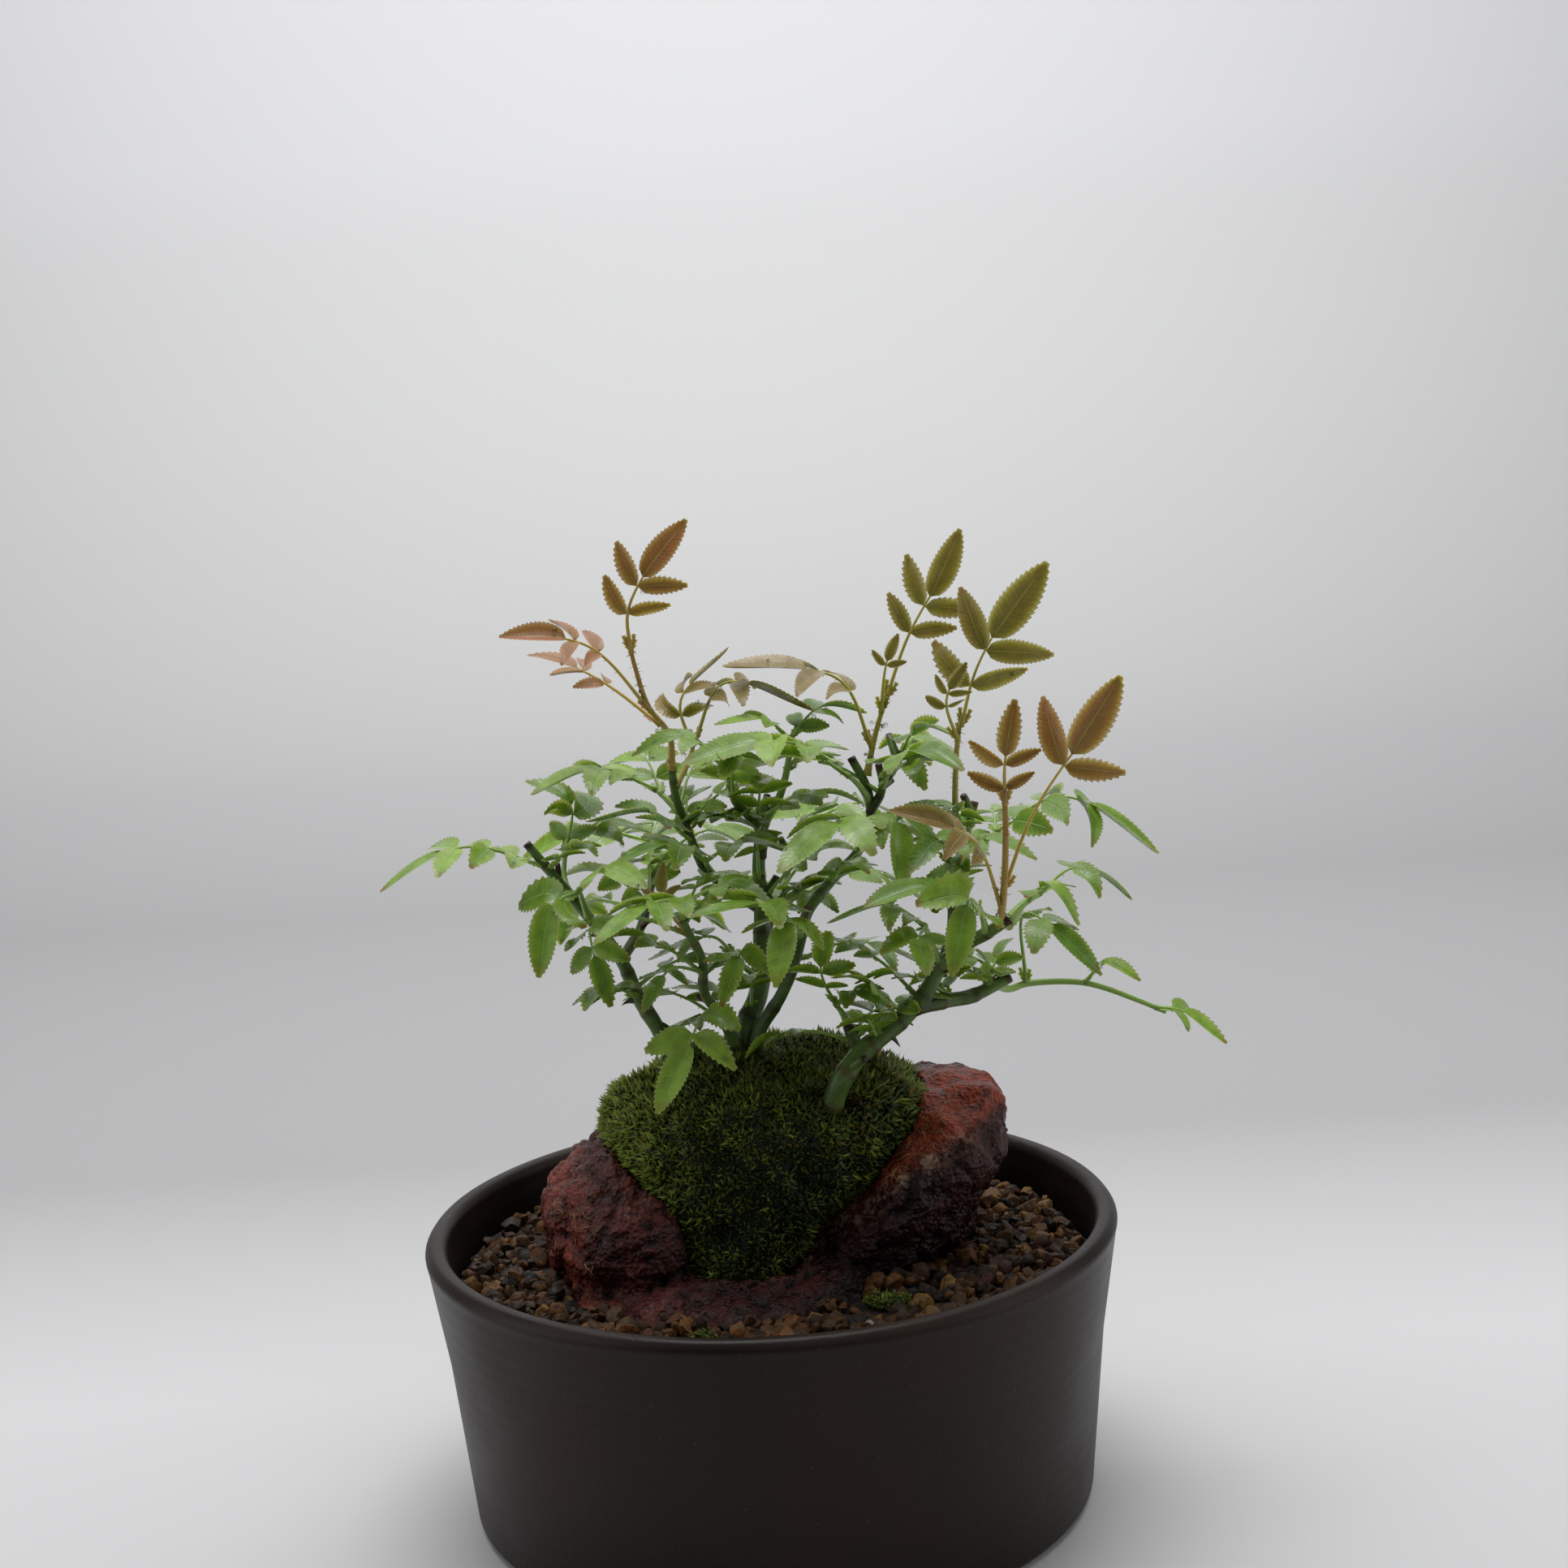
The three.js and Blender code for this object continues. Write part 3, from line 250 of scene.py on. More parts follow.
        Leaf([(-18, 126, 30), (-30, 129, 32), (-43, 124, 34)], 14),
        Leaf([(-18, 126, 30), (-17, 129.5, 39), (-17, 124, 50)], 13),
        Leaf([(-18.3, 122, 26.5), (-8, 127.5, 30), (4, 126, 35)], 12, 1),
    ]),
    Shoot("spray_back_low", "green", 0.7, [(-19.5, 114.5, 18), (-22, 114, 24), (-23, 114.5, 27)], [
        Leaf([(-22.8, 114.3, 26.5), (-31, 115.5, 35), (-37, 108, 45)], 13),
        Leaf([(-22.5, 114.2, 25.5), (-14, 115, 33), (-6, 109, 42)], 12, 1),
    ]),
    Shoot("spray_back_right", "green", 0.7, [(7.7, 122.5, 32.5), (10, 126, 36), (11, 128.5, 38)], [
        Leaf([(10.8, 128, 37.5), (21, 131, 42), (33, 125.5, 46)], 14),
        Leaf([(10.5, 127.5, 37.3), (8, 132, 46), (3, 128, 57)], 13),
    ]),
    Shoot("spray_back_centre", "green", 0.7, [(4.5, 113.5, 23), (9, 114.5, 27), (12, 115.5, 29)], [
        Leaf([(11.5, 115.3, 28.5), (21, 118.5, 31), (33, 111, 36)], 13),
    ]),
]


class Draws:
    """Seeded draws, the same in every run."""

    def __init__(self, seed):
        self.state = seed

    def between(self, low, high):
        self.state = self.state * 48271 % 2147483647
        return low + (high - low) * self.state / 2147483647

    def direction(self):
        """Any direction, each as likely as another."""
        turn = self.between(0, math.tau)
        height = self.between(-1, 1)
        flat = math.sqrt(1 - height * height)
        return Vector((flat * math.cos(turn), flat * math.sin(turn), height))


def clamp(value, low=0.0, high=1.0):
    return max(low, min(high, value))


def seen(point):
    """The real place of a plant point that is written as it is seen from the eye."""
    across, up, behind = point
    return EYE.lerp(Vector((across, 0, up)), 1 - behind / EYE.y)


def as_seen(point):
    """How far across and up a real place is seen from the eye."""
    share = EYE.y / (EYE.y - point.y)
    return point.x * share, EYE.z + (point.z - EYE.z) * share


def wheeled(x, y, angle):
    """Two coordinates turned by an angle in their plane."""
    return x * math.cos(angle) - y * math.sin(angle), x * math.sin(angle) + y * math.cos(angle)


def colour(code):
    """An sRGB hex code as linear colour."""
    channels = [int(code[i : i + 2], 16) / 255 for i in (0, 2, 4)]
    return (*(c / 12.92 if c <= 0.04045 else ((c + 0.055) / 1.055) ** 2.4 for c in channels), 1)


def lengths(rows):
    return np.linalg.norm(rows, axis=-1, keepdims=True)


class Arch:
    """A smooth curve through points, read evenly along its length."""

    FINENESS = 200

    def __init__(self, points):
        p = np.array([tuple(seen(q)) for q in points])
        p = np.vstack([2 * p[0] - p[1], p, 2 * p[-1] - p[-2]])
        spans = len(p) - 3
        step = np.sqrt(lengths(np.diff(p, axis=0)))
        slope = np.diff(p, axis=0) / step
        middle = slope[:-1] - (p[2:] - p[:-2]) / (step[:-1] + step[1:]) + slope[1:]
        share = np.linspace(0, spans, self.FINENESS + 1)
        i = np.minimum(share.astype(int), spans - 1)
        w = (share - i)[:, None]
        leave = middle[i] * step[i + 1]
        enter = middle[i + 1] * step[i + 1]
        rise = p[i + 2] - p[i + 1]
        self.path = p[i + 1] + leave * w + (3 * rise - 2 * leave - enter) * w**2
        self.path += (leave + enter - 2 * rise) * w**3
        self.run = np.concatenate([[0], np.cumsum(lengths(np.diff(self.path, axis=0)))])
        self.length = self.run[-1]

    def at(self, share):
        want = np.clip(share, 0, 1) * self.length
        return np.stack([np.interp(want, self.run, self.path[:, k]) for k in range(3)], axis=-1)

    def heading(self, share):
        inside = np.clip(share, 0.01, 0.99)
        ahead = self.at(inside + 0.01) - self.at(inside - 0.01)
        return ahead / lengths(ahead)


# Templates and the bmesh that their copies are set into

MARKS = ("tone", "blush", "scorch", "stem")


def mesh_of(bm, name):
    """The mesh that a finished bmesh leaves."""
    mesh = bpy.data.meshes.new(name)
    bm.to_mesh(mesh)
    bm.free()
    return mesh


def placed(name, data):
    """A new object with its data, linked to the scene."""
    made = bpy.data.objects.new(name, data)
    bpy.context.scene.collection.objects.link(made)
    return made


class Template:
    """A small shape made with bmesh operators, whose copies are set in with their own points."""

    def __init__(self, bm, name):
        for mark_name in MARKS:
            bm.verts.layers.float.new(mark_name)
        self.mesh = mesh_of(bm, name)
        points = np.empty(3 * len(self.mesh.vertices))
        self.mesh.vertices.foreach_get("co", points)
        self.points = points.reshape(-1, 3)


class Growth:
    """A bmesh that grows by copies of templates, and is finished as one piece."""

    def __init__(self, bm=None):
        self.bm = bm or bmesh.new()
        self.drops = []

    def set_in(self, template, points, **marks):
        mesh = template.mesh
        mesh.vertices.foreach_set("co", points.ravel())
        for mark_name in MARKS:
            values = np.broadcast_to(marks.get(mark_name, 0.0), len(points)).astype(np.float32)
            mesh.attributes[mark_name].data.foreach_set("value", values)
        self.bm.from_mesh(mesh, face_normals=False, vertex_normals=False)

    def finish(self, name, materials, nodes=(), slot=None):
        """The grown mesh in metres, as a piece that rides on the plant and stands for its nodes."""
        bmesh.ops.scale(self.bm, vec=(MM, MM, MM), verts=self.bm.verts)
        self.bm.normal_update()
        mesh = mesh_of(self.bm, name)
        for material in materials:
            mesh.materials.append(material)
        made = placed(name, mesh)
        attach(made, "root")
        if nodes:
            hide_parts(*nodes)
        return made


def smoothed(bm):
    for face in bm.faces:
        face.smooth = True
    return bm


def worked(bm, *modifiers):
    """The shape as modifiers leave it, each given as its kind and its settings."""
    mesh = mesh_of(bm, "worked")
    holder = placed("worked", mesh)
    for kind, settings in modifiers:
        modifier = holder.modifiers.new(kind, kind)
        for key, value in settings.items():
            setattr(modifier, key, value)
    bpy.context.view_layer.update()
    drawn = holder.evaluated_get(bpy.context.evaluated_depsgraph_get())
    done = bmesh.new()
    done.from_mesh(drawn.to_mesh())
    drawn.to_mesh_clear()
    bpy.data.objects.remove(holder)
    bpy.data.meshes.remove(mesh)
    return done


def shift(bm, moves):
    """Moves every point by its own move, once all the moves are known."""
    for vert, move in zip(bm.verts, moves):
        vert.co += move


def copy_of(node):
    """A construction node's mesh in millimetres, with its loose triangles merged."""
    bm = bmesh.new()
    bm.from_mesh(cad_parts[node].data)
    bmesh.ops.scale(bm, vec=(1 / MM, 1 / MM, 1 / MM), verts=bm.verts)
    bmesh.ops.remove_doubles(bm, verts=bm.verts, dist=1e-3)
    return bm


def skin_of(node, voxel, rounds):
    """A construction node as an even, softened skin of small quads."""
    bm = worked(copy_of(node), ("REMESH", {"mode": "VOXEL", "voxel_size": voxel}))
    for _ in range(rounds):
        bmesh.ops.smooth_vert(
            bm, verts=bm.verts, factor=0.5, use_axis_x=True, use_axis_y=True, use_axis_z=True
        )
    bm.normal_update()
    return smoothed(bm)


@lru_cache(maxsize=None)
def tree_of(node):
    """A search tree over a construction node, in millimetres."""
    bm = copy_of(node)
    found = BVHTree.FromBMesh(bm)
    bm.free()
    return found


# A way out of a solid that misses its corners
SLANT = Vector((0.13, 0.07, 1)).normalized()


def depth_in(node, point):
    """How deep a point lies in a construction node, or less than nothing outside it."""
    tree = tree_of(node)
    hit, normal, *_ = tree.ray_cast(point, SLANT)
    is_inside = hit is not None and normal.dot(SLANT) > 0
    distance = tree.find_nearest(point)[3]
    return distance if is_inside else -distance


def turned(direction, spin):
    """Rows that turn +Z to a direction after a spin about it, for points written as rows."""
    turn = Vector(direction).to_track_quat("Z", "Y").to_matrix() @ Matrix.Rotation(spin, 3, "Z")
    return np.array(turn).T


# Rods: canes, stems, rachises, prickles and hairs


@lru_cache(maxsize=None)
def rod_template(sides, rings):
    """A closed rod of unit radius whose height runs from 0 to 1 in even rings."""
    bm = bmesh.new()
    bmesh.ops.create_cone(bm, cap_ends=True, segments=sides, radius1=1, radius2=1, depth=1)
    upright = [e for e in bm.edges if abs(e.verts[0].co.z - e.verts[1].co.z) > 0.5]
    if rings > 1:
        bmesh.ops.subdivide_edges(bm, edges=upright, cuts=rings - 1)
    bmesh.ops.translate(bm, vec=(0, 0, 0.5), verts=bm.verts)
    return Template(smoothed(bm), f"rod_{sides}_{rings}")


def set_rod(growth, path, radii, sides, **marks):
    """A rod along a path of points, with a radius and marks for each point of it."""
    rod = rod_template(sides, len(path) - 1)
    along = np.gradient(path, axis=0)
    along /= lengths(along)
    across = np.empty_like(path)
    side = np.cross(along[0], (0.31, 0.17, 0.93))
    for i, ahead in enumerate(along):
        side = side - ahead * side.dot(ahead)
        side /= np.linalg.norm(side)
        across[i] = side
    other = np.cross(along, across)
    ring = np.rint(rod.points[:, 2] * (len(path) - 1)).astype(int)
    radius = np.broadcast_to(radii, len(path))[ring, None]
    points = path[ring] + across[ring] * rod.points[:, :1] * radius
    points += other[ring] * rod.points[:, 1:2] * radius
    spread = {key: np.broadcast_to(value, len(path))[ring] for key, value in marks.items()}
    growth.set_in(rod, points, **spread)


@lru_cache(maxsize=None)
def spike_template(sides):
    """A closed spike of unit height and unit foot radius."""
    bm = bmesh.new()
    bmesh.ops.create_cone(bm, cap_ends=True, segments=sides, radius1=1, radius2=0, depth=1)
    bmesh.ops.remove_doubles(bm, verts=bm.verts, dist=1e-5)
    bmesh.ops.translate(bm, vec=(0, 0, 0.5), verts=bm.verts)
    return Template(smoothed(bm), f"spike_{sides}")


def set_spike(growth, at, out, radius, length, sides=3, **marks):
    """A spike that stands on a point and points outwards."""
    spike = spike_template(sides)
    points = spike.points * (radius, radius, length)
    growth.set_in(spike, points @ turned(out, 0) + np.array(at), **marks)


# Leaves


@lru_cache(maxsize=None)
def leaflet_template(teeth, strips):
    """A closed, thin leaflet of unit length and half width, with fine forward teeth along its margin.

    Its UV map tells how far across a place is, and how many teeth it is from the foot.
    """
    rows = 2 * teeth
    bm = bmesh.new()
    uv = bm.loops.layers.uv.new("UVMap")
    bmesh.ops.create_grid(bm, x_segments=rows, y_segments=strips, size=0.5)
    lower = bmesh.ops.create_grid(bm, x_segments=rows, y_segments=2, size=0.5)["verts"]
    bmesh.ops.reverse_faces(bm, faces=list({f for v in lower for f in v.link_faces}))
    sides = dict.fromkeys(bm.verts, 1)
    sides.update(dict.fromkeys(lower, -1))
    for vert, side in sides.items():
        along = vert.co.x + 0.5
        aside = 2 * vert.co.y
        for loop in vert.link_loops:
            loop[uv].uv = (0.5 + aside / 2, along * teeth - 1.6 * abs(aside))
        half = LEAFLET_BULGE * max(0, along) ** 0.5 * max(0, 1 - along) ** 0.75
        # every other row of the margin is a tooth, pushed outwards and towards the tip
        is_margin = abs(aside) > 0.9
        is_tooth = is_margin and round(along * rows) % 2 == 1
        tooth = 1 + (1.15 if is_tooth else -0.9) / teeth * is_margin
        vert.co.x = along + (0.9 / rows if is_tooth else 0)
        vert.co.y = aside * half * tooth
        vert.co.z = side * (1 - aside * aside) * min(1, 3 * half)
    bmesh.ops.remove_doubles(bm, verts=bm.verts, dist=1e-5)
    smoothed(bm)
    for edge in bm.edges:
        edge.smooth = max(abs(v.co.z) for v in edge.verts) > 1e-6
    return Template(bm, f"leaflet_{teeth}_{strips}")


def set_leaflet(growth, draws, bend, foot, angle, length, width, looks, tone, blush):
    """One leaflet: creased, curled and rolled a little its own way, then bent with its leaf."""
    blade = leaflet_template(16, 4) if length > LARGE_LEAFLET else leaflet_template(10, 2)
    along, aside, lift = (blade.points * (length, width / 2, looks.thickness / MM / 2)).T
    crease = draws.between(0.15, 0.6)
    curl = draws.between(-0.08, 0.22)
    roll = draws.between(-0.45, 0.45)
    angle += draws.between(-0.15, 0.15)
    share = along / length
    lift = lift + crease * np.abs(aside) - curl * length * share**2
    aside, lift = wheeled(aside, lift, roll)
    x, y = wheeled(along, aside, angle)
    burn = draws.between(-1, 1)
    margin = np.abs(blade.points[:, 1])
    under = blade.points[:, 2] < 0
    points = bend(np.stack([foot[0] + x, foot[1] + y, lift], axis=1))
    if draws.between(0, 1) < 0.3:
        growth.drops.append(points[int(draws.between(0, len(points)))])
    growth.set_in(
        blade,
        points,
        tone=tone + draws.between(-0.2, 0.2),
        blush=np.clip(blush * (0.5 + 0.7 * margin + 0.5 * under + 0.3 * share), 0, 1),
        scorch=np.clip(9 * (share - 0.86), 0, 1) if burn > 0.75 else np.clip(4 * (share - 0.8), 0, 0.3),
    )


def sheet_along(arch, face):
    """A function that bends flat points, written as along, left and up, with a leaf's arch."""
    upper = np.array(face, dtype=float)

    def bend(points):
        along, left, up = points[:, :1], points[:, 1:2], points[:, 2:]
        share = (along / arch.length)[:, 0]
        ahead = arch.heading(share)
        normal = upper - ahead * (ahead @ upper)[:, None]
        normal /= lengths(normal)
        beyond = along - np.clip(along, 0, arch.length)
        place = arch.at(share) + ahead * beyond
        return place + np.cross(normal, ahead) * left + normal * (up - LEAF_DROOP * left**2)

    return bend


def set_leaf(growth, draws, leaf, looks, blush=0.0, tone=0.5):
    """A compound leaf: petiole and rachis, stipules at its foot, leaflets in pairs and one at its end."""
    arch = Arch(leaf.points)
    bend = sheet_along(arch, leaf.face)
    reach = 1 + LAST_PAIR + PAIR_STEP * (leaf.pairs - 1)
    blade = min(leaf.blade, (arch.length - PETIOLE) / reach)
    rachis_end = arch.length - blade
    tone += draws.between(-0.3, 0.3)
    rings = max(4, round(rachis_end / 1.2))
    share = np.linspace(0, 1, rings + 1)
    flat = np.zeros((rings + 1, 3))
    flat[:, 0] = share * (rachis_end + 0.04 * blade)
    radii = (0.4 - 0.2 * share) * (1 + 0.6 * np.exp(-share * rachis_end / 1.2))
    set_rod(growth, bend(flat), radii, 6, tone=0.35 + 0.3 * share, blush=blush * share, stem=1)
    for i in range(leaf.pairs):
        place = rachis_end - blade * (LAST_PAIR + PAIR_STEP * (leaf.pairs - 1 - i))
        length = blade * (0.7 if i == leaf.pairs - 1 else 0.62)
        for side in (-1, 1):
            foot = (place, side * 0.15)
            size = length * draws.between(0.92, 1.06)
            angle = side * LEAFLET_SPREAD
            width = size * (0.39 if blush else draws.between(0.46, 0.57))
            set_leaflet(growth, draws, bend, foot, angle, size, width, looks, tone, blush)
    set_leaflet(growth, draws, bend, (rachis_end, 0), 0, blade, blade * 0.4, looks, tone, blush)
    for side in (-1, 1):
        stipule = leaflet_template(3, 2)
        x, y, z = (stipule.points * (3.2, 0.55, 0.1)).T
        x, y = wheeled(x, y, side * 0.22)
        growth.set_in(stipule, bend(np.stack([0.4 + x, side * 0.3 + y, z], axis=1)), tone=0.7, blush=blush)
    spot = 2.0
    while spot < rachis_end:
        ends = bend(np.array([[spot, 0, -0.25], [spot + 0.1, draws.between(-0.3, 0.3), -1]]))
        set_spike(growth, ends[0], ends[1] - ends[0], 0.14, draws.between(0.4, 0.8), blush=0.5, stem=1)
        spot += draws.between(2.5, 6)


# Materials


def add(tree, kind, settings=None, inputs=None):
    """Adds one node with its settings, and links its inputs or gives them their values."""
    made = tree.nodes.new(kind)
    for name, value in (settings or {}).items():
        setattr(made, name, value)
    for key, value in (inputs or {}).items():
        if isinstance(value, bpy.types.NodeSocket):
            tree.links.new(value, made.inputs[key])
        else:
            made.inputs[key].default_value = value
    return made


def new_material(name, **constants):
    """A material with one Principled surface, whose constants are set on its own sockets."""
    made = bpy.data.materials.new(name)
    made.use_nodes = True
    surface = made.node_tree.nodes["Principled BSDF"]
    for key, value in constants.items():
        surface.inputs[key.replace("_", " ").title().replace("Ior", "IOR")].default_value = value
    return made, made.node_tree, surface


def mark(tree, name):
    return add(tree, "ShaderNodeAttribute", {"attribute_name": name}).outputs["Fac"]


def noise_at(tree, place, scale, detail=3.0):
    inputs = {"Vector": place, "Scale": scale, "Detail": detail}
    return add(tree, "ShaderNodeTexNoise", None, inputs).outputs[0]


def between(tree, value, start, end, low=0.0, high=1.0):
    """A value read from start to end as a share from low to high."""
    return add(tree, "ShaderNodeMapRange", None, {0: value, 1: start, 2: end, 3: low, 4: high}).outputs[0]


def maths(tree, operation, *values):
    return add(tree, "ShaderNodeMath", {"operation": operation}, dict(enumerate(values))).outputs[0]


def mixed(tree, share, first, second, how="MIX"):
    """One colour turning into another by a share."""
    settings = {"data_type": "RGBA", "blend_type": how}
    return add(tree, "ShaderNodeMix", settings, {0: share, 6: first, 7: second}).outputs[2]


def ramp(tree, share, stops, how="LINEAR"):
    """Colours along a share, given as places and hex codes."""
    made = add(tree, "ShaderNodeValToRGB", None, {0: share})
    band = made.color_ramp
    band.interpolation = how
    for i, (place, code) in enumerate(stops):
        stop = band.elements[i] if i < 2 else band.elements.new(place)
        stop.position = place
        stop.color = colour(code)
    return made.outputs[0]


def roughen(tree, surface, height, strength, distance):
    bump = add(tree, "ShaderNodeBump", None, {"Strength": strength, "Distance": distance, "Height": height})
    tree.links.new(bump.outputs[0], surface.inputs["Normal"])


def object_place(tree):
    return add(tree, "ShaderNodeTexCoord").outputs["Object"]


def stoneware(looks):
    """Unglazed dark stoneware, thrown and rubbed: satin and faintly banded, with pinholes and grog specks."""
    made, tree, surface = new_material("unglazed dark stoneware, thrown", ior=1.5, specular_ior_level=0.2)
    place = object_place(tree)
    # clouds 25 mm wide, grog specks 0.8 mm, throwing rings 3 mm apart, pinholes 2.4 mm apart
    clouds = noise_at(tree, place, 40, 4)
    specks = noise_at(tree, place, 1250, 2)
    wave = {"Vector": place, "Scale": 100, "Distortion": 0.6, "Detail": 2, "Detail Scale": 1.5}
    rings = add(tree, "ShaderNodeTexWave", {"bands_direction": "Z"}, wave).outputs[1]
    body = mixed(tree, between(tree, clouds, 0.3, 0.7), (*looks.shadow, 1), (*looks.body, 1))
    speckled = mixed(tree, between(tree, specks, 0.7, 0.8, 0, 0.7), body, colour("4a3f38"))
    # painted shade: the inside of the wall is painted near-black, for the shade inside the pot and some wet
    # staining
    shaded_wet_inside = mixed(tree, mark(tree, "tone"), speckled, colour("0d0a09"))
    tree.links.new(shaded_wet_inside, surface.inputs["Base Color"])
    tree.links.new(between(tree, clouds, 0.3, 0.7, 0.36, 0.5), surface.inputs["Roughness"])
    pores = add(tree, "ShaderNodeTexVoronoi", None, {"Vector": place, "Scale": 420}).outputs[0]
    height = maths(tree, "MULTIPLY_ADD", rings, 0.3, between(tree, pores, 0.0, 0.14))
    height = maths(tree, "MULTIPLY_ADD", specks, 0.5, height)
    roughen(tree, surface, height, 0.45, 0.00018)
    return made


def baked_grains(looks):
    """Grains of baked clay and crushed lava, moist: each its own ochre, rust or grey, darker in hollows."""
    made, tree, surface = new_material("baked clay and lava grains, moist", specular_ior_level=0.35)
    # grit 1 mm wide
    grit = noise_at(tree, object_place(tree), 1000, 5)
    kinds = [
        (0.0, "261d14"), (0.12, "342414"), (0.24, "4a2e15"), (0.38, "633f1b"), (0.54, "7a5225"),
        (0.68, "573c1f"), (0.8, "482416"), (0.9, "906a30"), (0.975, "d8d2c6"),
    ]
    grains = ramp(tree, mark(tree, "tone"), kinds, "CONSTANT")
    amber = mixed(tree, mark(tree, "blush"), grains, (*looks.amber, 1))
    shade = ramp(tree, grit, [(0.3, "4a3a2c"), (0.7, "ffffff")])
    gritty = mixed(tree, 0.8, amber, shade, "MULTIPLY")
    # painted shade: scorch darkens the grains by the front rim, where the rim's shade falls
    tree.links.new(mixed(tree, mark(tree, "scorch"), gritty, colour("140d08")), surface.inputs["Base Color"])
    tree.links.new(between(tree, grit, 0.35, 0.65, 0.45, 0.85), surface.inputs["Roughness"])
    roughen(tree, surface, grit, 0.9, 0.0004)
    return made


def scoria(looks):
    """Red lava, broken and wet: brick to purple-brown, pitted, rust on its open face, pale at its crest."""
    made, tree, surface = new_material(
        "red scoria, broken and wet", specular_ior_level=0.3, coat_weight=0.08, coat_roughness=0.2
    )
    place = object_place(tree)
    broad = noise_at(tree, place, 60, 5)
    fine = noise_at(tree, place, 450, 7)
    plum = ramp(tree, broad, [(0.3, "401d1a"), (0.45, "552723"), (0.6, "6a2f26"), (0.74, "7a3e33")])
    brick = mixed(tree, between(tree, broad, 0.3, 0.7), (*looks.rust_dark, 1), (*looks.rust, 1))
    body = mixed(tree, mark(tree, "rust"), plum, brick)
    # painted shade: the side beyond the crest and the foot by the soil are darkened
    body = mixed(tree, mark(tree, "painted_stone_shade"), body, colour("1f0f0e"))
    crust = maths(tree, "MULTIPLY", between(tree, fine, 0.5, 0.58), mark(tree, "crest"))
    body = mixed(tree, crust, body, colour("b8977f"))
    shade = ramp(tree, fine, [(0.3, "5c4340"), (0.62, "ffffff")])
    body = mixed(tree, 0.85, body, shade, "MULTIPLY")
    # painted shade: pits and cracks are painted near-black
    body = mixed(tree, mark(tree, "pit"), body, colour("120909"))
    tree.links.new(body, surface.inputs["Base Color"])
    tree.links.new(between(tree, fine, 0.35, 0.65, 0.28, 0.65), surface.inputs["Roughness"])
    # vesicles 0.9 mm wide
    cells = add(tree, "ShaderNodeTexVoronoi", None, {"Vector": place, "Scale": 1100}).outputs[0]
    roughen(tree, surface, maths(tree, "MULTIPLY_ADD", cells, 0.6, fine), 0.9, 0.0012)
    return made


def dull(name, code, second, roughness, scale):
    """Clay muck, soil crumbs or plastic mesh: dull and dark, with an even grain."""
    made, tree, surface = new_material(name, roughness=roughness)
    grain = noise_at(tree, object_place(tree), scale, 4)
    tree.links.new(ramp(tree, grain, [(0.35, code), (0.65, second)]), surface.inputs["Base Color"])
    roughen(tree, surface, grain, 0.6, 0.0005)
    return made


def clay_muck():
    """Clay muck that binds the roots, wet: near-black brown lumps, its fine roots tan to straw."""
    made, tree, surface = new_material(
        "clay muck bound with roots, wet", roughness=0.6, specular_ior_level=0.3
    )
    # lumps 2 mm wide
    lumps = noise_at(tree, object_place(tree), 500, 5)
    muck = ramp(tree, lumps, [(0.35, "130c08"), (0.65, "35251a")])
    roots = mixed(tree, mark(tree, "tone"), colour("5c3a20"), colour("a98450"))
    tree.links.new(mixed(tree, mark(tree, "stem"), muck, roots), surface.inputs["Base Color"])
    roughen(tree, surface, lumps, 0.7, 0.0005)
    return made


def living_moss(looks):
    """Cushion moss, moist: near-black green between its shoots and at their feet, which is painted shade,
    olive and yellow-green at their tips.
    """
    made, tree, surface = new_material("cushion moss, living", roughness=0.45, specular_ior_level=0.3)
    tone = mark(tree, "tone")
    # painted shade: the near-black green of the skin between the shoots and of the shoots' feet
    deep = mixed(tree, tone, colour("081004"), colour("1c300a"))
    fresh = mixed(tree, tone, (*looks.shade, 1), (*looks.lit, 1))
    body = mixed(tree, mark(tree, "blush"), deep, fresh)
    tree.links.new(mixed(tree, mark(tree, "scorch"), body, colour("8a5a26")), surface.inputs["Base Color"])
    return made


def rose_bark(looks):
    """A rose's green bark: waxy and smooth with pale lenticels, brown at nodes, collars and cut ends."""
    made, tree, surface = new_material(
        "rose bark, green and waxy", roughness=0.42, specular_ior_level=0.35, coat_weight=0.1
    )
    place = object_place(tree)
    broad = noise_at(tree, place, 160)
    # lenticels 0.6 mm long
    flecks = noise_at(tree, place, 1600, 2)
    green = mixed(tree, between(tree, broad, 0.3, 0.7), (*looks.bark_shade, 1), (*looks.bark, 1))
    spotted = mixed(tree, between(tree, flecks, 0.62, 0.74, 0, 0.5), green, colour("8a9668"))
    fresh = mixed(tree, mark(tree, "blush"), spotted, colour("74953f"))
    dead = ramp(tree, broad, [(0.35, "1d120c"), (0.55, "4a2a1c"), (0.75, "7a5238")])
    tree.links.new(mixed(tree, mark(tree, "scorch"), fresh, dead), surface.inputs["Base Color"])
    roughen(tree, surface, flecks, 0.25, 0.0002)
    return made


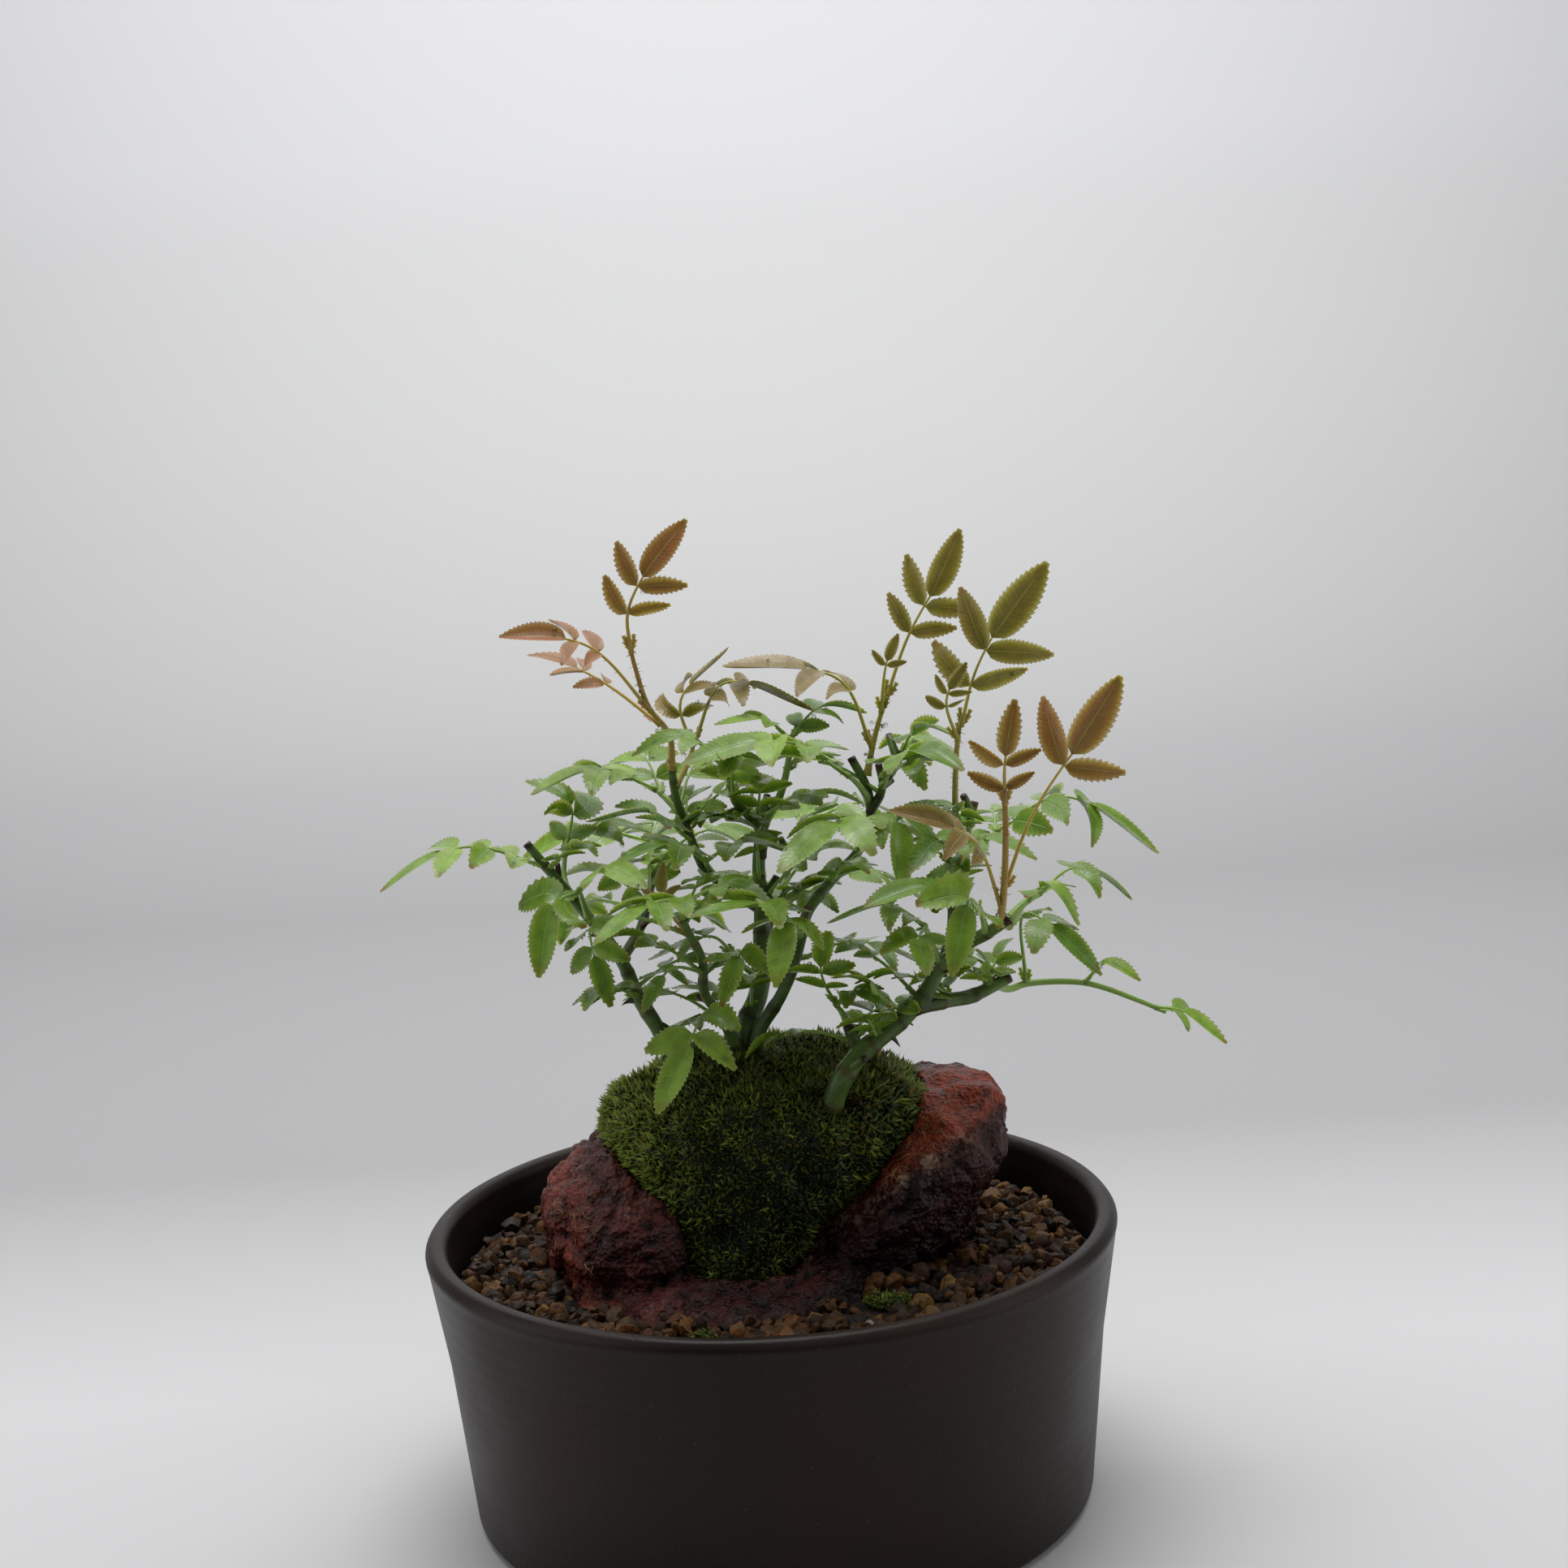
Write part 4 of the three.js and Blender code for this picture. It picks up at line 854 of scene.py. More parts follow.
def leaf_skin(name, deep, bright, red, rib, gloss):
    """A rose leaf's skin: waxy and wet, its midrib and stems paler, its veins sunk, its margin flushed."""
    made, tree, surface = new_material(
        name, specular_ior_level=0.26, coat_weight=0.16, coat_roughness=0.1, subsurface_weight=0.35,
        subsurface_scale=1, subsurface_radius=(0.001, 0.0012, 0.0004),
    )
    split = add(tree, "ShaderNodeSeparateXYZ", None, {0: add(tree, "ShaderNodeUVMap").outputs[0]})
    aside = maths(tree, "ABSOLUTE", maths(tree, "SUBTRACT", split.outputs[0], 0.5))
    # one side vein to each tooth
    wave = maths(tree, "COSINE", maths(tree, "MULTIPLY", split.outputs[1], math.tau))
    midrib = between(tree, aside, 0.035, 0.01, 0, 0.6)
    veins = maths(tree, "MAXIMUM", between(tree, wave, 0.7, 1.0, 0, 0.14), midrib)
    mottle = noise_at(tree, object_place(tree), 380, 4)
    body = mixed(tree, mark(tree, "tone"), deep, bright)
    body = mixed(tree, 0.6, body, ramp(tree, mottle, [(0.3, "a8a8a8"), (0.6, "ffffff")]), "MULTIPLY")
    body = mixed(tree, mark(tree, "blush"), body, red)
    body = mixed(tree, maths(tree, "MAXIMUM", veins, mark(tree, "stem")), body, rib)
    body = mixed(tree, mark(tree, "scorch"), body, colour("7a4a20"))
    tree.links.new(body, surface.inputs["Base Color"])
    # films of rain 4 mm wide
    wet = noise_at(tree, object_place(tree), 250, 1)
    tree.links.new(between(tree, wet, 0.4, 0.6, gloss - 0.16, gloss + 0.12), surface.inputs["Roughness"])
    roughen(tree, surface, maths(tree, "MULTIPLY_ADD", veins, -1.2, mottle), 0.45, 0.0003)
    return made


def rainwater():
    """Clear rain: only its glints and its dark edge show."""
    return new_material("rainwater", ior=1.333, roughness=0.0, transmission_weight=1.0)[0]


# Settings a user would change


def length_property(name, about, default, low, high):
    return FloatProperty(name=name, description=about, default=default, min=low, max=high, unit="LENGTH")


def colour_property(name, about, code):
    return FloatVectorProperty(
        name=name, description=about, default=colour(code)[:3], min=0, max=1, size=3, subtype="COLOR"
    )


def power_property(name, about, default):
    return FloatProperty(name=name, description=about, default=default, min=0, max=200, unit="POWER")


class BonsaiPotLooks(bpy.types.PropertyGroup):
    rounding: length_property(
        "Rim rounding", "How far the rim's edges are rubbed round", 0.0006, 0.0001, 0.001
    )
    body: colour_property("Body", "Stoneware where the fire left it lighter", "281b15")
    shadow: colour_property("Shadow", "Stoneware where the fire left it darker", "19110d")


class BonsaiSoilLooks(bpy.types.PropertyGroup):
    smallest: length_property("Smallest grain", "Width of the smallest grains", 0.0025, 0.001, 0.004)
    largest: length_property("Largest grain", "Width of the largest grains", 0.0062, 0.002, 0.008)
    count: IntProperty(name="Grains", description="How many grains are strewn", default=2500, min=9, max=3600)
    amber: colour_property("Amber", "Wet grains by the front rim", "b06a24")


class BonsaiStoneLooks(bpy.types.PropertyGroup):
    voxel: length_property("Detail", "Width of the skin's quads", 0.0007, 0.0005, 0.002)
    pit_depth: length_property("Pit depth", "Depth of the deepest pits", 0.0015, 0, 0.003)
    roots: IntProperty(name="Fine roots", description="Fine roots on the stone", default=110, min=0, max=300)
    rust: colour_property("Rust", "The open face where it is lightest", "b84a28")
    rust_dark: colour_property("Dark rust", "The open face where it is darkest", "963a22")


class BonsaiRootBallLooks(bpy.types.PropertyGroup):
    voxel: length_property("Detail", "Width of the skin's quads", 0.0009, 0.0005, 0.002)
    roots: IntProperty(name="Roots", description="Fine roots around the ball", default=220, min=0, max=600)


class BonsaiMossLooks(bpy.types.PropertyGroup):
    shoot: length_property("Shoot", "Length of a shoot's leaves", 0.0033, 0.0005, 0.004)
    # painted light and shade: the tips go from the shaded colour to the lit one by the light painted on each
    # shoot, together with random patches
    lit: colour_property("Lit tips", "Tips of the youngest shoots", "a6b836")
    shade: colour_property("Shaded tips", "Tips of the oldest shoots", "28440f")


class BonsaiPlantLooks(bpy.types.PropertyGroup):
    thickness: length_property("Leaflet thickness", "Thickness at the midrib", 0.0003, 0.0001, 0.001)
    bark: colour_property("Bark", "Young green bark", "587432")
    bark_shade: colour_property("Old bark", "Older, darker green bark", "2e431e")
    leaf: colour_property("Leaf", "Brightest green leaves", "8cae3c")
    leaf_deep: colour_property("Deep leaf", "Darkest green leaves", "48701c")
    inner_leaves: IntProperty(
        name="Inner leaves", description="Leaves tried for between the larger ones", default=31,
        min=0, max=200,
    )
    stubs: IntProperty(name="Stubs", description="Pruned stubs along the canes", default=16, min=0, max=60)
    stem: colour_property("Leaf stalk", "Green leaf stalks and midribs", "8fae56")
    bronze: colour_property("Bronze leaf", "Young leaves that turn green", "8c8340")
    red: colour_property("Red leaf", "The flush of the youngest leaves", "985038")


class BonsaiStageLooks(bpy.types.PropertyGroup):
    top_light: power_property("Top light", "Power of the soft light overhead", 3.9)
    side_light: power_property("Side light", "Power of each soft side light", 1.4)
    wash_light: power_property("Wash light", "Power of the light that falls on the backdrop alone", 14)


class BonsaiLooks(bpy.types.PropertyGroup):
    pot: PointerProperty(type=BonsaiPotLooks)
    soil: PointerProperty(type=BonsaiSoilLooks)
    stone: PointerProperty(type=BonsaiStoneLooks)
    root_ball: PointerProperty(type=BonsaiRootBallLooks)
    moss: PointerProperty(type=BonsaiMossLooks)
    plant: PointerProperty(type=BonsaiPlantLooks)
    stage: PointerProperty(type=BonsaiStageLooks)


class BONSAI_OT_pot(bpy.types.Operator):
    """Throws the stoneware pot: a finely turned wall with a rubbed rim and two drain holes"""

    bl_idname = "bonsai.pot"
    bl_label = "Pot"

    def execute(self, context):
        looks = context.scene.bonsai.pot
        inner = RIM_RADIUS - RIM_WIDTH
        outside = [
            (0, 0), (FOOT_RADIUS - 1.5, 0), (FOOT_RADIUS, 1.5), (FOOT_RADIUS + 3, 32),
            (RIM_RADIUS - 0.4, POT_HEIGHT - 3.2), (RIM_RADIUS, POT_HEIGHT - 1.6),
            (RIM_RADIUS - 1.2, POT_HEIGHT), (inner + 1, POT_HEIGHT), (inner, POT_HEIGHT - 1.2),
        ]
        inside = [
            (inner - 0.8, SOIL_TOP - 0.5), (inner - 4.6, POT_FLOOR + 4), (inner - 8.1, POT_FLOOR),
            (0, POT_FLOOR),
        ]
        bm = bmesh.new()
        # the inside of the wall is marked for its painted shade, which also stands for some wet staining
        inside_shade_and_stain = bm.verts.layers.float.new("tone")
        verts = [bm.verts.new((radius, 0, height)) for radius, height in outside + inside]
        for vert in verts[len(outside) :]:
            vert[inside_shade_and_stain] = 1
        edges = [bm.edges.new(pair) for pair in zip(verts, verts[1:])]
        bmesh.ops.spin(
            bm, geom=verts + edges, cent=(0, 0, 0), axis=(0, 0, 1), angle=math.tau, steps=160, use_merge=True
        )
        bmesh.ops.remove_doubles(bm, verts=bm.verts, dist=1e-4)
        bmesh.ops.recalc_face_normals(bm, faces=bm.faces)
        bmesh.ops.bevel(
            bm, geom=self.rubbed_edges(bm), offset=looks.rounding / MM, segments=3, affect="EDGES",
            profile=0.5, material=-1,
        )
        bm = self.drilled(bm)
        for edge in smoothed(bm).edges:
            edge.smooth = len(edge.link_faces) != 2 or edge.calc_face_angle(0) < math.radians(50)
        Growth(bm).finish("stoneware_pot", [stoneware(looks)], ["pot"], "stoneware")
        return {"FINISHED"}

    def rubbed_edges(self, bm):
        """The rings of edges at the rim and at the foot."""
        found = []
        for edge in bm.edges:
            a, b = (vert.co for vert in edge.verts)
            is_ring = abs(a.z - b.z) < 1e-3 and abs(a.xy.length - b.xy.length) < 1e-3
            is_corner = a.z > POT_HEIGHT - 4 or a.z < 2
            if is_ring and is_corner and a.xy.length > FOOT_RADIUS - 2:
                found.append(edge)
        return found

    def drilled(self, bm):
        """The pot with its two drain holes cut through the floor."""
        drills = bmesh.new()
        for side in (-1, 1):
            bmesh.ops.create_cone(
                drills, cap_ends=True, segments=48, radius1=DRAIN_HOLE_RADIUS, radius2=DRAIN_HOLE_RADIUS,
                depth=3 * POT_FLOOR, matrix=Matrix.Translation((side * DRAIN_HOLE_OFFSET, 0, POT_FLOOR / 2)),
            )
        mesh = mesh_of(drills, "drills")
        cutter = placed("drills", mesh)
        done = worked(bm, ("BOOLEAN", {"operation": "DIFFERENCE", "object": cutter, "solver": "EXACT"}))
        bpy.data.objects.remove(cutter)
        bpy.data.meshes.remove(mesh)
        return done


class BONSAI_OT_under_soil(bpy.types.Operator):
    """Gives the screens and the packed soil their materials"""

    bl_idname = "bonsai.under_soil"
    bl_label = "Under the soil"

    def execute(self, context):
        plastic = dull("mesh of black plastic", "17181a", "202224", 0.45, 900)
        finishes = {
            "drain_screen_left": plastic,
            "drain_screen_right": plastic,
            "soil": dull("soil between the grains, wet", "120c08", "2a1c12", 0.8, 700),
        }
        for node, material in finishes.items():
            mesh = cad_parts[node].data
            mesh.materials.clear()
            mesh.materials.append(material)
        return {"FINISHED"}


# Spots that follow each other by this turn, ever farther out, cover a disc evenly
GOLDEN_TURN = 2.399963
# How far the strewn grains keep from the wall, and how far the upper ones lie over the lower ones
GRAIN_WALL_GAP = 1.4
UPPER_LAYER = 1.2
# The grains bank up a little towards the wall, from this radius on
BANK_START = 50
RIM_BANK = 0.09


@lru_cache(maxsize=None)
def grain_template(kind):
    """A broken grain: the hull of a few points drawn about a flattened ball."""
    draws = Draws(811 + 37 * kind)
    bm = bmesh.new()
    stretch = Vector((1, draws.between(0.65, 0.95), draws.between(0.55, 0.85)))
    for _ in range(26):
        bm.verts.new(draws.direction() * draws.between(0.8, 1.05) * stretch)
    bmesh.ops.convex_hull(bm, input=bm.verts)
    bmesh.ops.delete(bm, geom=[v for v in bm.verts if not v.link_faces], context="VERTS")
    bmesh.ops.recalc_face_normals(bm, faces=bm.faces)
    for edge in smoothed(bm).edges:
        edge.smooth = edge.calc_face_angle(0) < math.radians(38)
    return Template(bm, f"grain_{kind}")


class BONSAI_OT_soil(bpy.types.Operator):
    """Strews the soil with grains of baked clay and lava, with wet amber ones by the front rim"""

    bl_idname = "bonsai.soil"
    bl_label = "Soil grains"

    def execute(self, context):
        looks = context.scene.bonsai.soil
        draws = Draws(5077)
        growth = Growth()
        edge = RIM_RADIUS - RIM_WIDTH - GRAIN_WALL_GAP
        for number in range(looks.count):
            is_upper = number % 5 > 2
            size = looks.smallest / MM + (looks.largest - looks.smallest) / MM * draws.between(0, 1) ** 1.7
            radius = (edge - size / 2) * math.sqrt((number + draws.between(0, 1)) / looks.count)
            turn = number * GOLDEN_TURN
            height = SOIL_TOP - 0.1 + UPPER_LAYER * is_upper + draws.between(-0.5, 0.5)
            height += RIM_BANK * max(0, radius - BANK_START)
            at = Vector((radius * math.cos(turn), radius * math.sin(turn), height))
            is_taken = depth_in("lava_stone", at) > -0.2 * size
            is_taken |= any(depth_in(f"moss_tuft_{side}", at) > -0.4 * size for side in ("left", "right"))
            if is_taken or (is_upper and noise.noise(at * 0.16) < -0.45):
                continue
            is_white = draws.between(0, 1) < (0.035 if at.x > 15 else 0.008)
            front = clamp((-at.y - 30) / 14)
            amber = front * draws.between(0, 1) ** 3
            grain = grain_template(number % 7)
            points = grain.points * (size / 4 if is_white else size / 2)
            # scorch paints the front rim's shade on the grains by it, leaving out the amber ones
            growth.set_in(
                grain, points @ turned(draws.direction(), draws.between(0, 6)) + np.array(at),
                tone=1.0 if is_white else draws.between(0, 0.97), blush=0 if is_white else amber,
                scorch=0.65 * front * (1 - amber),
            )
        growth.finish("soil_grains", [baked_grains(looks)], slot="soil")
        return {"FINISHED"}


# The stone's crest runs between these places, across and up as seen from the eye
CREST_TOP = Vector((37, 66))
CREST_FOOT = Vector((1, 43))


def crest_side(point):
    """How far a place lies above the stone's crest, and how far along it from its foot, as seen."""
    along = (CREST_TOP - CREST_FOOT).normalized()
    from_foot = Vector(as_seen(point)) - CREST_FOOT
    return along.cross(from_foot), along.dot(from_foot)


class BONSAI_OT_stone(bpy.types.Operator):
    """Breaks and pits the lava stone, leaves its open face smoother and raises its crest"""

    bl_idname = "bonsai.stone"
    bl_label = "Lava stone"

    def execute(self, context):
        looks = context.scene.bonsai.stone
        bm = skin_of("lava_stone", looks.voxel / MM, 3)
        names = ("pit", "rust", "crest", "painted_stone_shade")
        pits, rust, crest, painted_stone_shade = (bm.verts.layers.float.new(name) for name in names)
        moves = []
        for vert in bm.verts:
            at = vert.co
            across = as_seen(at)[0]
            above, along = crest_side(at)
            # where on the stone this is, as seen: its open face, the side beyond the crest, which is painted
            # in shade, the crest
            in_front = clamp((20 - at.y) / 10)
            on_face = clamp((above + 0.5) / 2.5) * clamp((across + 2) / 5) * in_front
            beyond = clamp((-0.5 - above) / 2.5) * clamp((across - 4) / 8) * in_front
            ends = clamp((along + 4) / 5) * clamp((46 - along) / 6)
            on_crest = math.exp(-((above / 1.8) ** 2)) * ends * in_front
            keep = 1 - 0.65 * on_face
            # large forms, the cracks between them, their broken grain, and pits, more of them low down
            broad = 1.5 * noise.noise(at * 0.09) + 1.1 * noise.noise(at * 0.2 + Vector((7, 1, 3)))
            near, next_near = noise.voronoi(at * 0.075 + Vector((1, 4, 2)))[0][:2]
            crack = 1.1 * math.exp(-(next_near - near) / 0.07)
            grain = keep * (0.75 * noise.turbulence(at * 0.4, 4, True) + 0.3 * noise.noise(at * 0.9) - 0.4)
            hole = noise.voronoi(Vector((at.x * 0.25, at.y * 0.25, at.z * 0.42)))[0][0]
            low = clamp((68 - at.z) / 22)
            area = clamp(1.6 * (noise.noise(at * 0.11 + Vector((2, 8, 5))) + 0.15 + 0.7 * low))
            pit = clamp(1 - hole / 0.47) ** 1.2 * area * keep
            small = clamp(1 - noise.voronoi(at * 0.62)[0][0] / 0.4) * keep
            sunk = (pit + 0.35 * small) * looks.pit_depth / MM + crack * keep
            moves.append(vert.normal * (broad + grain - sunk + 0.5 * on_crest))
            # pits and cracks are marked for their painted shade
            vert[pits] = clamp(1.4 * pit + 0.65 * small + 0.4 * crack * keep)
            vert[rust] = clamp(on_face + 0.4 * clamp((-33 - across) / 4) * in_front)
            vert[crest] = on_crest
            # painted shade darkens the foot where it meets the soil, most in its middle
            foot = clamp((50 - at.z) / 7) * max(clamp((across + 14) / 8), 0.4 * clamp((-at.y - 24) / 6))
            vert[painted_stone_shade] = clamp(0.5 * beyond + 0.6 * foot * in_front)
        shift(bm, moves)
        surface = BVHTree.FromBMesh(bm)
        Growth(bm).finish("lava_rock", [scoria(looks)], ["lava_stone"], "lava")
        self.lay_roots(looks, surface)
        return {"FINISHED"}

    def lay_roots(self, looks, surface):
        """Fine dry roots that cling to the open face, the crest and the left foot of the stone."""
        draws = Draws(3163)
        growth = Growth()
        for number in range(looks.roots):
            if number % 5:
                along = draws.between(0, 1)
                across, up = CREST_FOOT.lerp(CREST_TOP, along) + Vector((0, draws.between(-1, 9)))
            else:
                across, up = draws.between(-46, -34), draws.between(42, 58)
            at, normal, *_ = surface.ray_cast(EYE, seen((across, up, 0)) - EYE)
            if at is None:
                continue
            set_root(growth, draws, surface, at, normal, 7, 0.7, 0.07)
        growth.finish("fine_roots", [dull("fine dry roots", "8a6230", "d0aa72", 0.7, 300)])


def set_root(growth, draws, surface, at, normal, joints, step, radius):
    """A fine root that wanders over a surface from a place on it."""
    ahead = draws.direction()
    path = []
    for _ in range(joints):
        path.append(at + normal * radius * 1.2)
        ahead = (ahead - normal * ahead.dot(normal) + 0.6 * draws.direction()).normalized()
        at, normal, *_ = surface.find_nearest(at + ahead * draws.between(0.6, 1.4) * step)
    radii = radius * np.linspace(1.2, 0.5, joints)
    set_rod(growth, np.array(path), radii, 4, tone=draws.between(0, 1), stem=1)


# The middle of the root ball, and a reach that clears it on every side
ROOT_BALL_MIDDLE = Vector((-1, 13, 61))
ROOT_BALL_REACH = 30


class BONSAI_OT_root_ball(bpy.types.Operator):
    """Makes the ball of clay muck lumpy and binds it with fine roots"""

    bl_idname = "bonsai.root_ball"
    bl_label = "Root ball"

    def execute(self, context):
        looks = context.scene.bonsai.root_ball
        draws = Draws(733)
        bm = skin_of("root_ball", looks.voxel / MM, 3)
        moves = []
        for vert in bm.verts:
            lump = 1.2 * noise.noise(vert.co * 0.2) + 0.9 * noise.turbulence(vert.co * 0.45, 3, True)
            moves.append(vert.normal * (lump - 0.7))
        shift(bm, moves)
        surface = BVHTree.FromBMesh(bm)
        growth = Growth(bm)
        for _ in range(looks.roots):
            around = ROOT_BALL_MIDDLE + ROOT_BALL_REACH * draws.direction()
            at, normal, *_ = surface.find_nearest(around)
            set_root(growth, draws, surface, at, normal, 12, 1.6, draws.between(0.1, 0.28))
        growth.finish("muck_ball", [clay_muck()], ["root_ball"], "muck")
        return {"FINISHED"}


@lru_cache(maxsize=None)
def moss_template(kind):
    """A moss shoot: a star of pointed, flat leaves around an upright bud, of unit length."""
    draws = Draws(97 + 13 * kind)
    bm = bmesh.new()
    for i in range(9):
        lean = draws.between(0.2, 0.6) if i < 2 else draws.between(0.9, 1.4)
        turn = Matrix.Rotation(i * 2.4 + draws.between(-0.3, 0.3), 4, "Z") @ Matrix.Rotation(lean, 4, "X")
        length = draws.between(0.65, 0.85) if i < 2 else draws.between(0.6, 0.9)
        flat = Matrix.Diagonal((1, 0.3, 1, 1)) @ Matrix.Translation((0, 0, length / 2))
        bmesh.ops.create_cone(
            bm, cap_ends=True, segments=3, radius1=0.23, radius2=0, depth=length, matrix=turn @ flat
        )
    bmesh.ops.remove_doubles(bm, verts=bm.verts, dist=1e-4)
    return Template(smoothed(bm), f"moss_{kind}")


def set_moss(growth, draws, at, out, length, tone, brown=0.0):
    """One moss shoot, whose tips are marked fresh."""
    shoot = moss_template(int(draws.between(0, 5)))
    points = shoot.points * length @ turned(out, draws.between(0, 6)) + np.array(at)
    tips = np.clip(1.9 * lengths(shoot.points)[:, 0] - 0.8, 0, 1)
    growth.set_in(shoot, points, tone=tone, blush=tips, scorch=brown * tips)


class BONSAI_OT_moss(bpy.types.Operator):
    """Covers the moss cushion and the tufts on the soil with star-shaped shoots"""

    bl_idname = "bonsai.moss"
    bl_label = "Moss"

    def execute(self, context):
        looks = context.scene.bonsai.moss
        material = living_moss(looks)
        self.cover("moss_cushion", "moss_bed", 1.6, looks, material, 2311)
        for side in ("left", "right"):
            self.cover(f"moss_tuft_{side}", f"soil_moss_{side}", 0.9, looks, material, 61)
        return {"FINISHED"}

    def cover(self, node, name, voxel, looks, material, seed):
        """The node's skin, humped into clumps, with a shoot on each of its open quads."""
        draws = Draws(seed)
        is_cushion = node == "moss_cushion"
        bm = skin_of(node, voxel, 2)
        tone = bm.verts.layers.float.new("tone")
        clump = 1.0 if is_cushion else 0.3
        for vert in bm.verts:
            hump = clump * (1.8 * noise.noise(vert.co * 0.15) + 0.8 * noise.noise(vert.co * 0.33))
            near_stone = clamp(1 + depth_in("lava_stone", vert.co) / 3)
            vert.co += vert.normal * (hump - 0.8) * (1 - near_stone)
            # the skin between the shoots is given the near-black painted shade
            vert[tone] = 0.2
        bm.normal_update()
        spots = []
        for face in bm.faces:
            at = face.calc_center_median()
            is_buried = depth_in("lava_stone", at) > -0.3 or depth_in("root_ball", at) > -0.3
            if not is_buried and (is_cushion or at.z > SOIL_TOP + 0.3):
                spots.append((at, face.normal.copy()))
        growth = Growth(bm)
        for at, normal in spots:
            across, up = as_seen(at)
            out = (normal + 0.3 * Vector((0, 0, 1)) + 0.6 * draws.direction()).normalized()
            # painted light: shoots on the cushion's top, its left edge and its lower tongue get lighter tips;
            # the tufts take a fixed share of it
            lit, gold, size = 0.75, 0, 0.45
            if is_cushion:
                top, left, tongue = (at.z - 66) / 16, (-10 - across) / 14, (50 - up) / 8
                lit = 0.4 * clamp(top) + 0.9 * clamp(left) + 0.25 * clamp(tongue)
                gold = clamp((across - 8) / 12) * clamp((at.z - 66) / 8)
                size = 1 + 0.25 * gold
            patch = 0.5 + noise.noise(at * 0.3)
            tone = clamp(0.85 * lit + 0.55 * patch - 0.26 + draws.between(0, 1) ** 3)
            brown = draws.between(0.4, 1) if draws.between(0, 1) < 0.03 + 0.22 * gold else 0
            length = looks.shoot / MM * draws.between(0.6, 1.15) * size
            set_moss(growth, draws, at - normal * 0.6, out, length, tone, brown)
        growth.finish(name, [material], [node], "moss")


class BONSAI_OT_canes(bpy.types.Operator):
    """Grows the woody canes with their nodes, collars, cut ends and hooked prickles"""

    bl_idname = "bonsai.canes"
    bl_label = "Canes"

    def execute(self, context):
        looks = context.scene.bonsai.plant
        draws = Draws(409)
        growth = Growth()
        for number, cane in enumerate(CANES):
            self.set_cane(growth, draws, cane, is_branch=number > 1)
        for number in range(looks.stubs):
            self.set_stub(growth, draws, CANES[number % len(CANES)], is_dead=number % 3 == 0)
        for prickle in PRICKLES:
            at = seen(prickle.at)
            out = Vector(prickle.out).normalized()
            path = np.array([at + out * s - Vector((0, 0, 0.12 * s * s)) for s in (0, 1.1, 1.9, 2.6, 3.1)])
            set_rod(growth, path, np.array([1.1, 0.75, 0.4, 0.2, 0.05]), 6, scorch=np.linspace(0.2, 1, 5))
        growth.finish("woody_canes", [rose_bark(looks)], ["canes"], "cane")
        return {"FINISHED"}

    def set_cane(self, growth, draws, cane, is_branch):
        """A cane with swollen nodes, a collar where it branches off, and a dry cut end."""
        arch = Arch(cane.points)
        share = np.linspace(0, 1, round(arch.length / 0.6) + 1)
        run = share * arch.length
        ridge = np.zeros_like(run)
        below = np.zeros_like(run)
        for knot in np.arange(draws.between(4, 7), arch.length - 2, draws.between(6.5, 9)):
            ridge += np.exp(-(((run - knot) / 0.55) ** 2))
            below += np.exp(-(((run - knot + 1.2) / 1.3) ** 2))
        collar = is_branch * np.exp(-run / 2.2)
        cut = np.clip((run - arch.length + 1.6) / 0.8, 0, 1)
        radii = cane.foot + (cane.tip - cane.foot) * share
        radii = radii * (1 + 0.1 * ridge + 0.08 * below + 0.25 * collar)
        brown = np.clip(0.75 * ridge + 0.9 * collar + cut, 0, 1)
        set_rod(growth, arch.at(share), radii, 12, scorch=brown, blush=0.35 * share)

    def set_stub(self, growth, draws, cane, is_dead):
        """What pruning left of a side shoot: green with a dry cut, or dead and brown throughout."""
        arch = Arch(cane.points)
        foot = arch.at(draws.between(0.25, 0.95))
        out = draws.direction()
        out.z = abs(out.z) + 0.4
        share = np.linspace(0, 1, 6)[:, None]
        length = draws.between(2.5, 4) if is_dead else draws.between(3.5, 8)
        bow = np.array(draws.direction()) * 0.08 * length
        path = foot + np.array(out.normalized()) * length * share + bow * share * (1 - share)
        radii = (0.55 if is_dead else 0.75) * (1.3 - 0.4 * share[:, 0])
        set_rod(growth, path, radii, 8, scorch=1 if is_dead else share[:, 0] ** 6, blush=0.3)


# The middle and the half sizes of the crown, across and up as seen and behind as it is
CROWN_MIDDLE = (3, 113, 4)
CROWN_HALF = (50, 28, 30)
# Inner leaves grow from the canes above this height
LOWEST_INNER_FOOT = 86


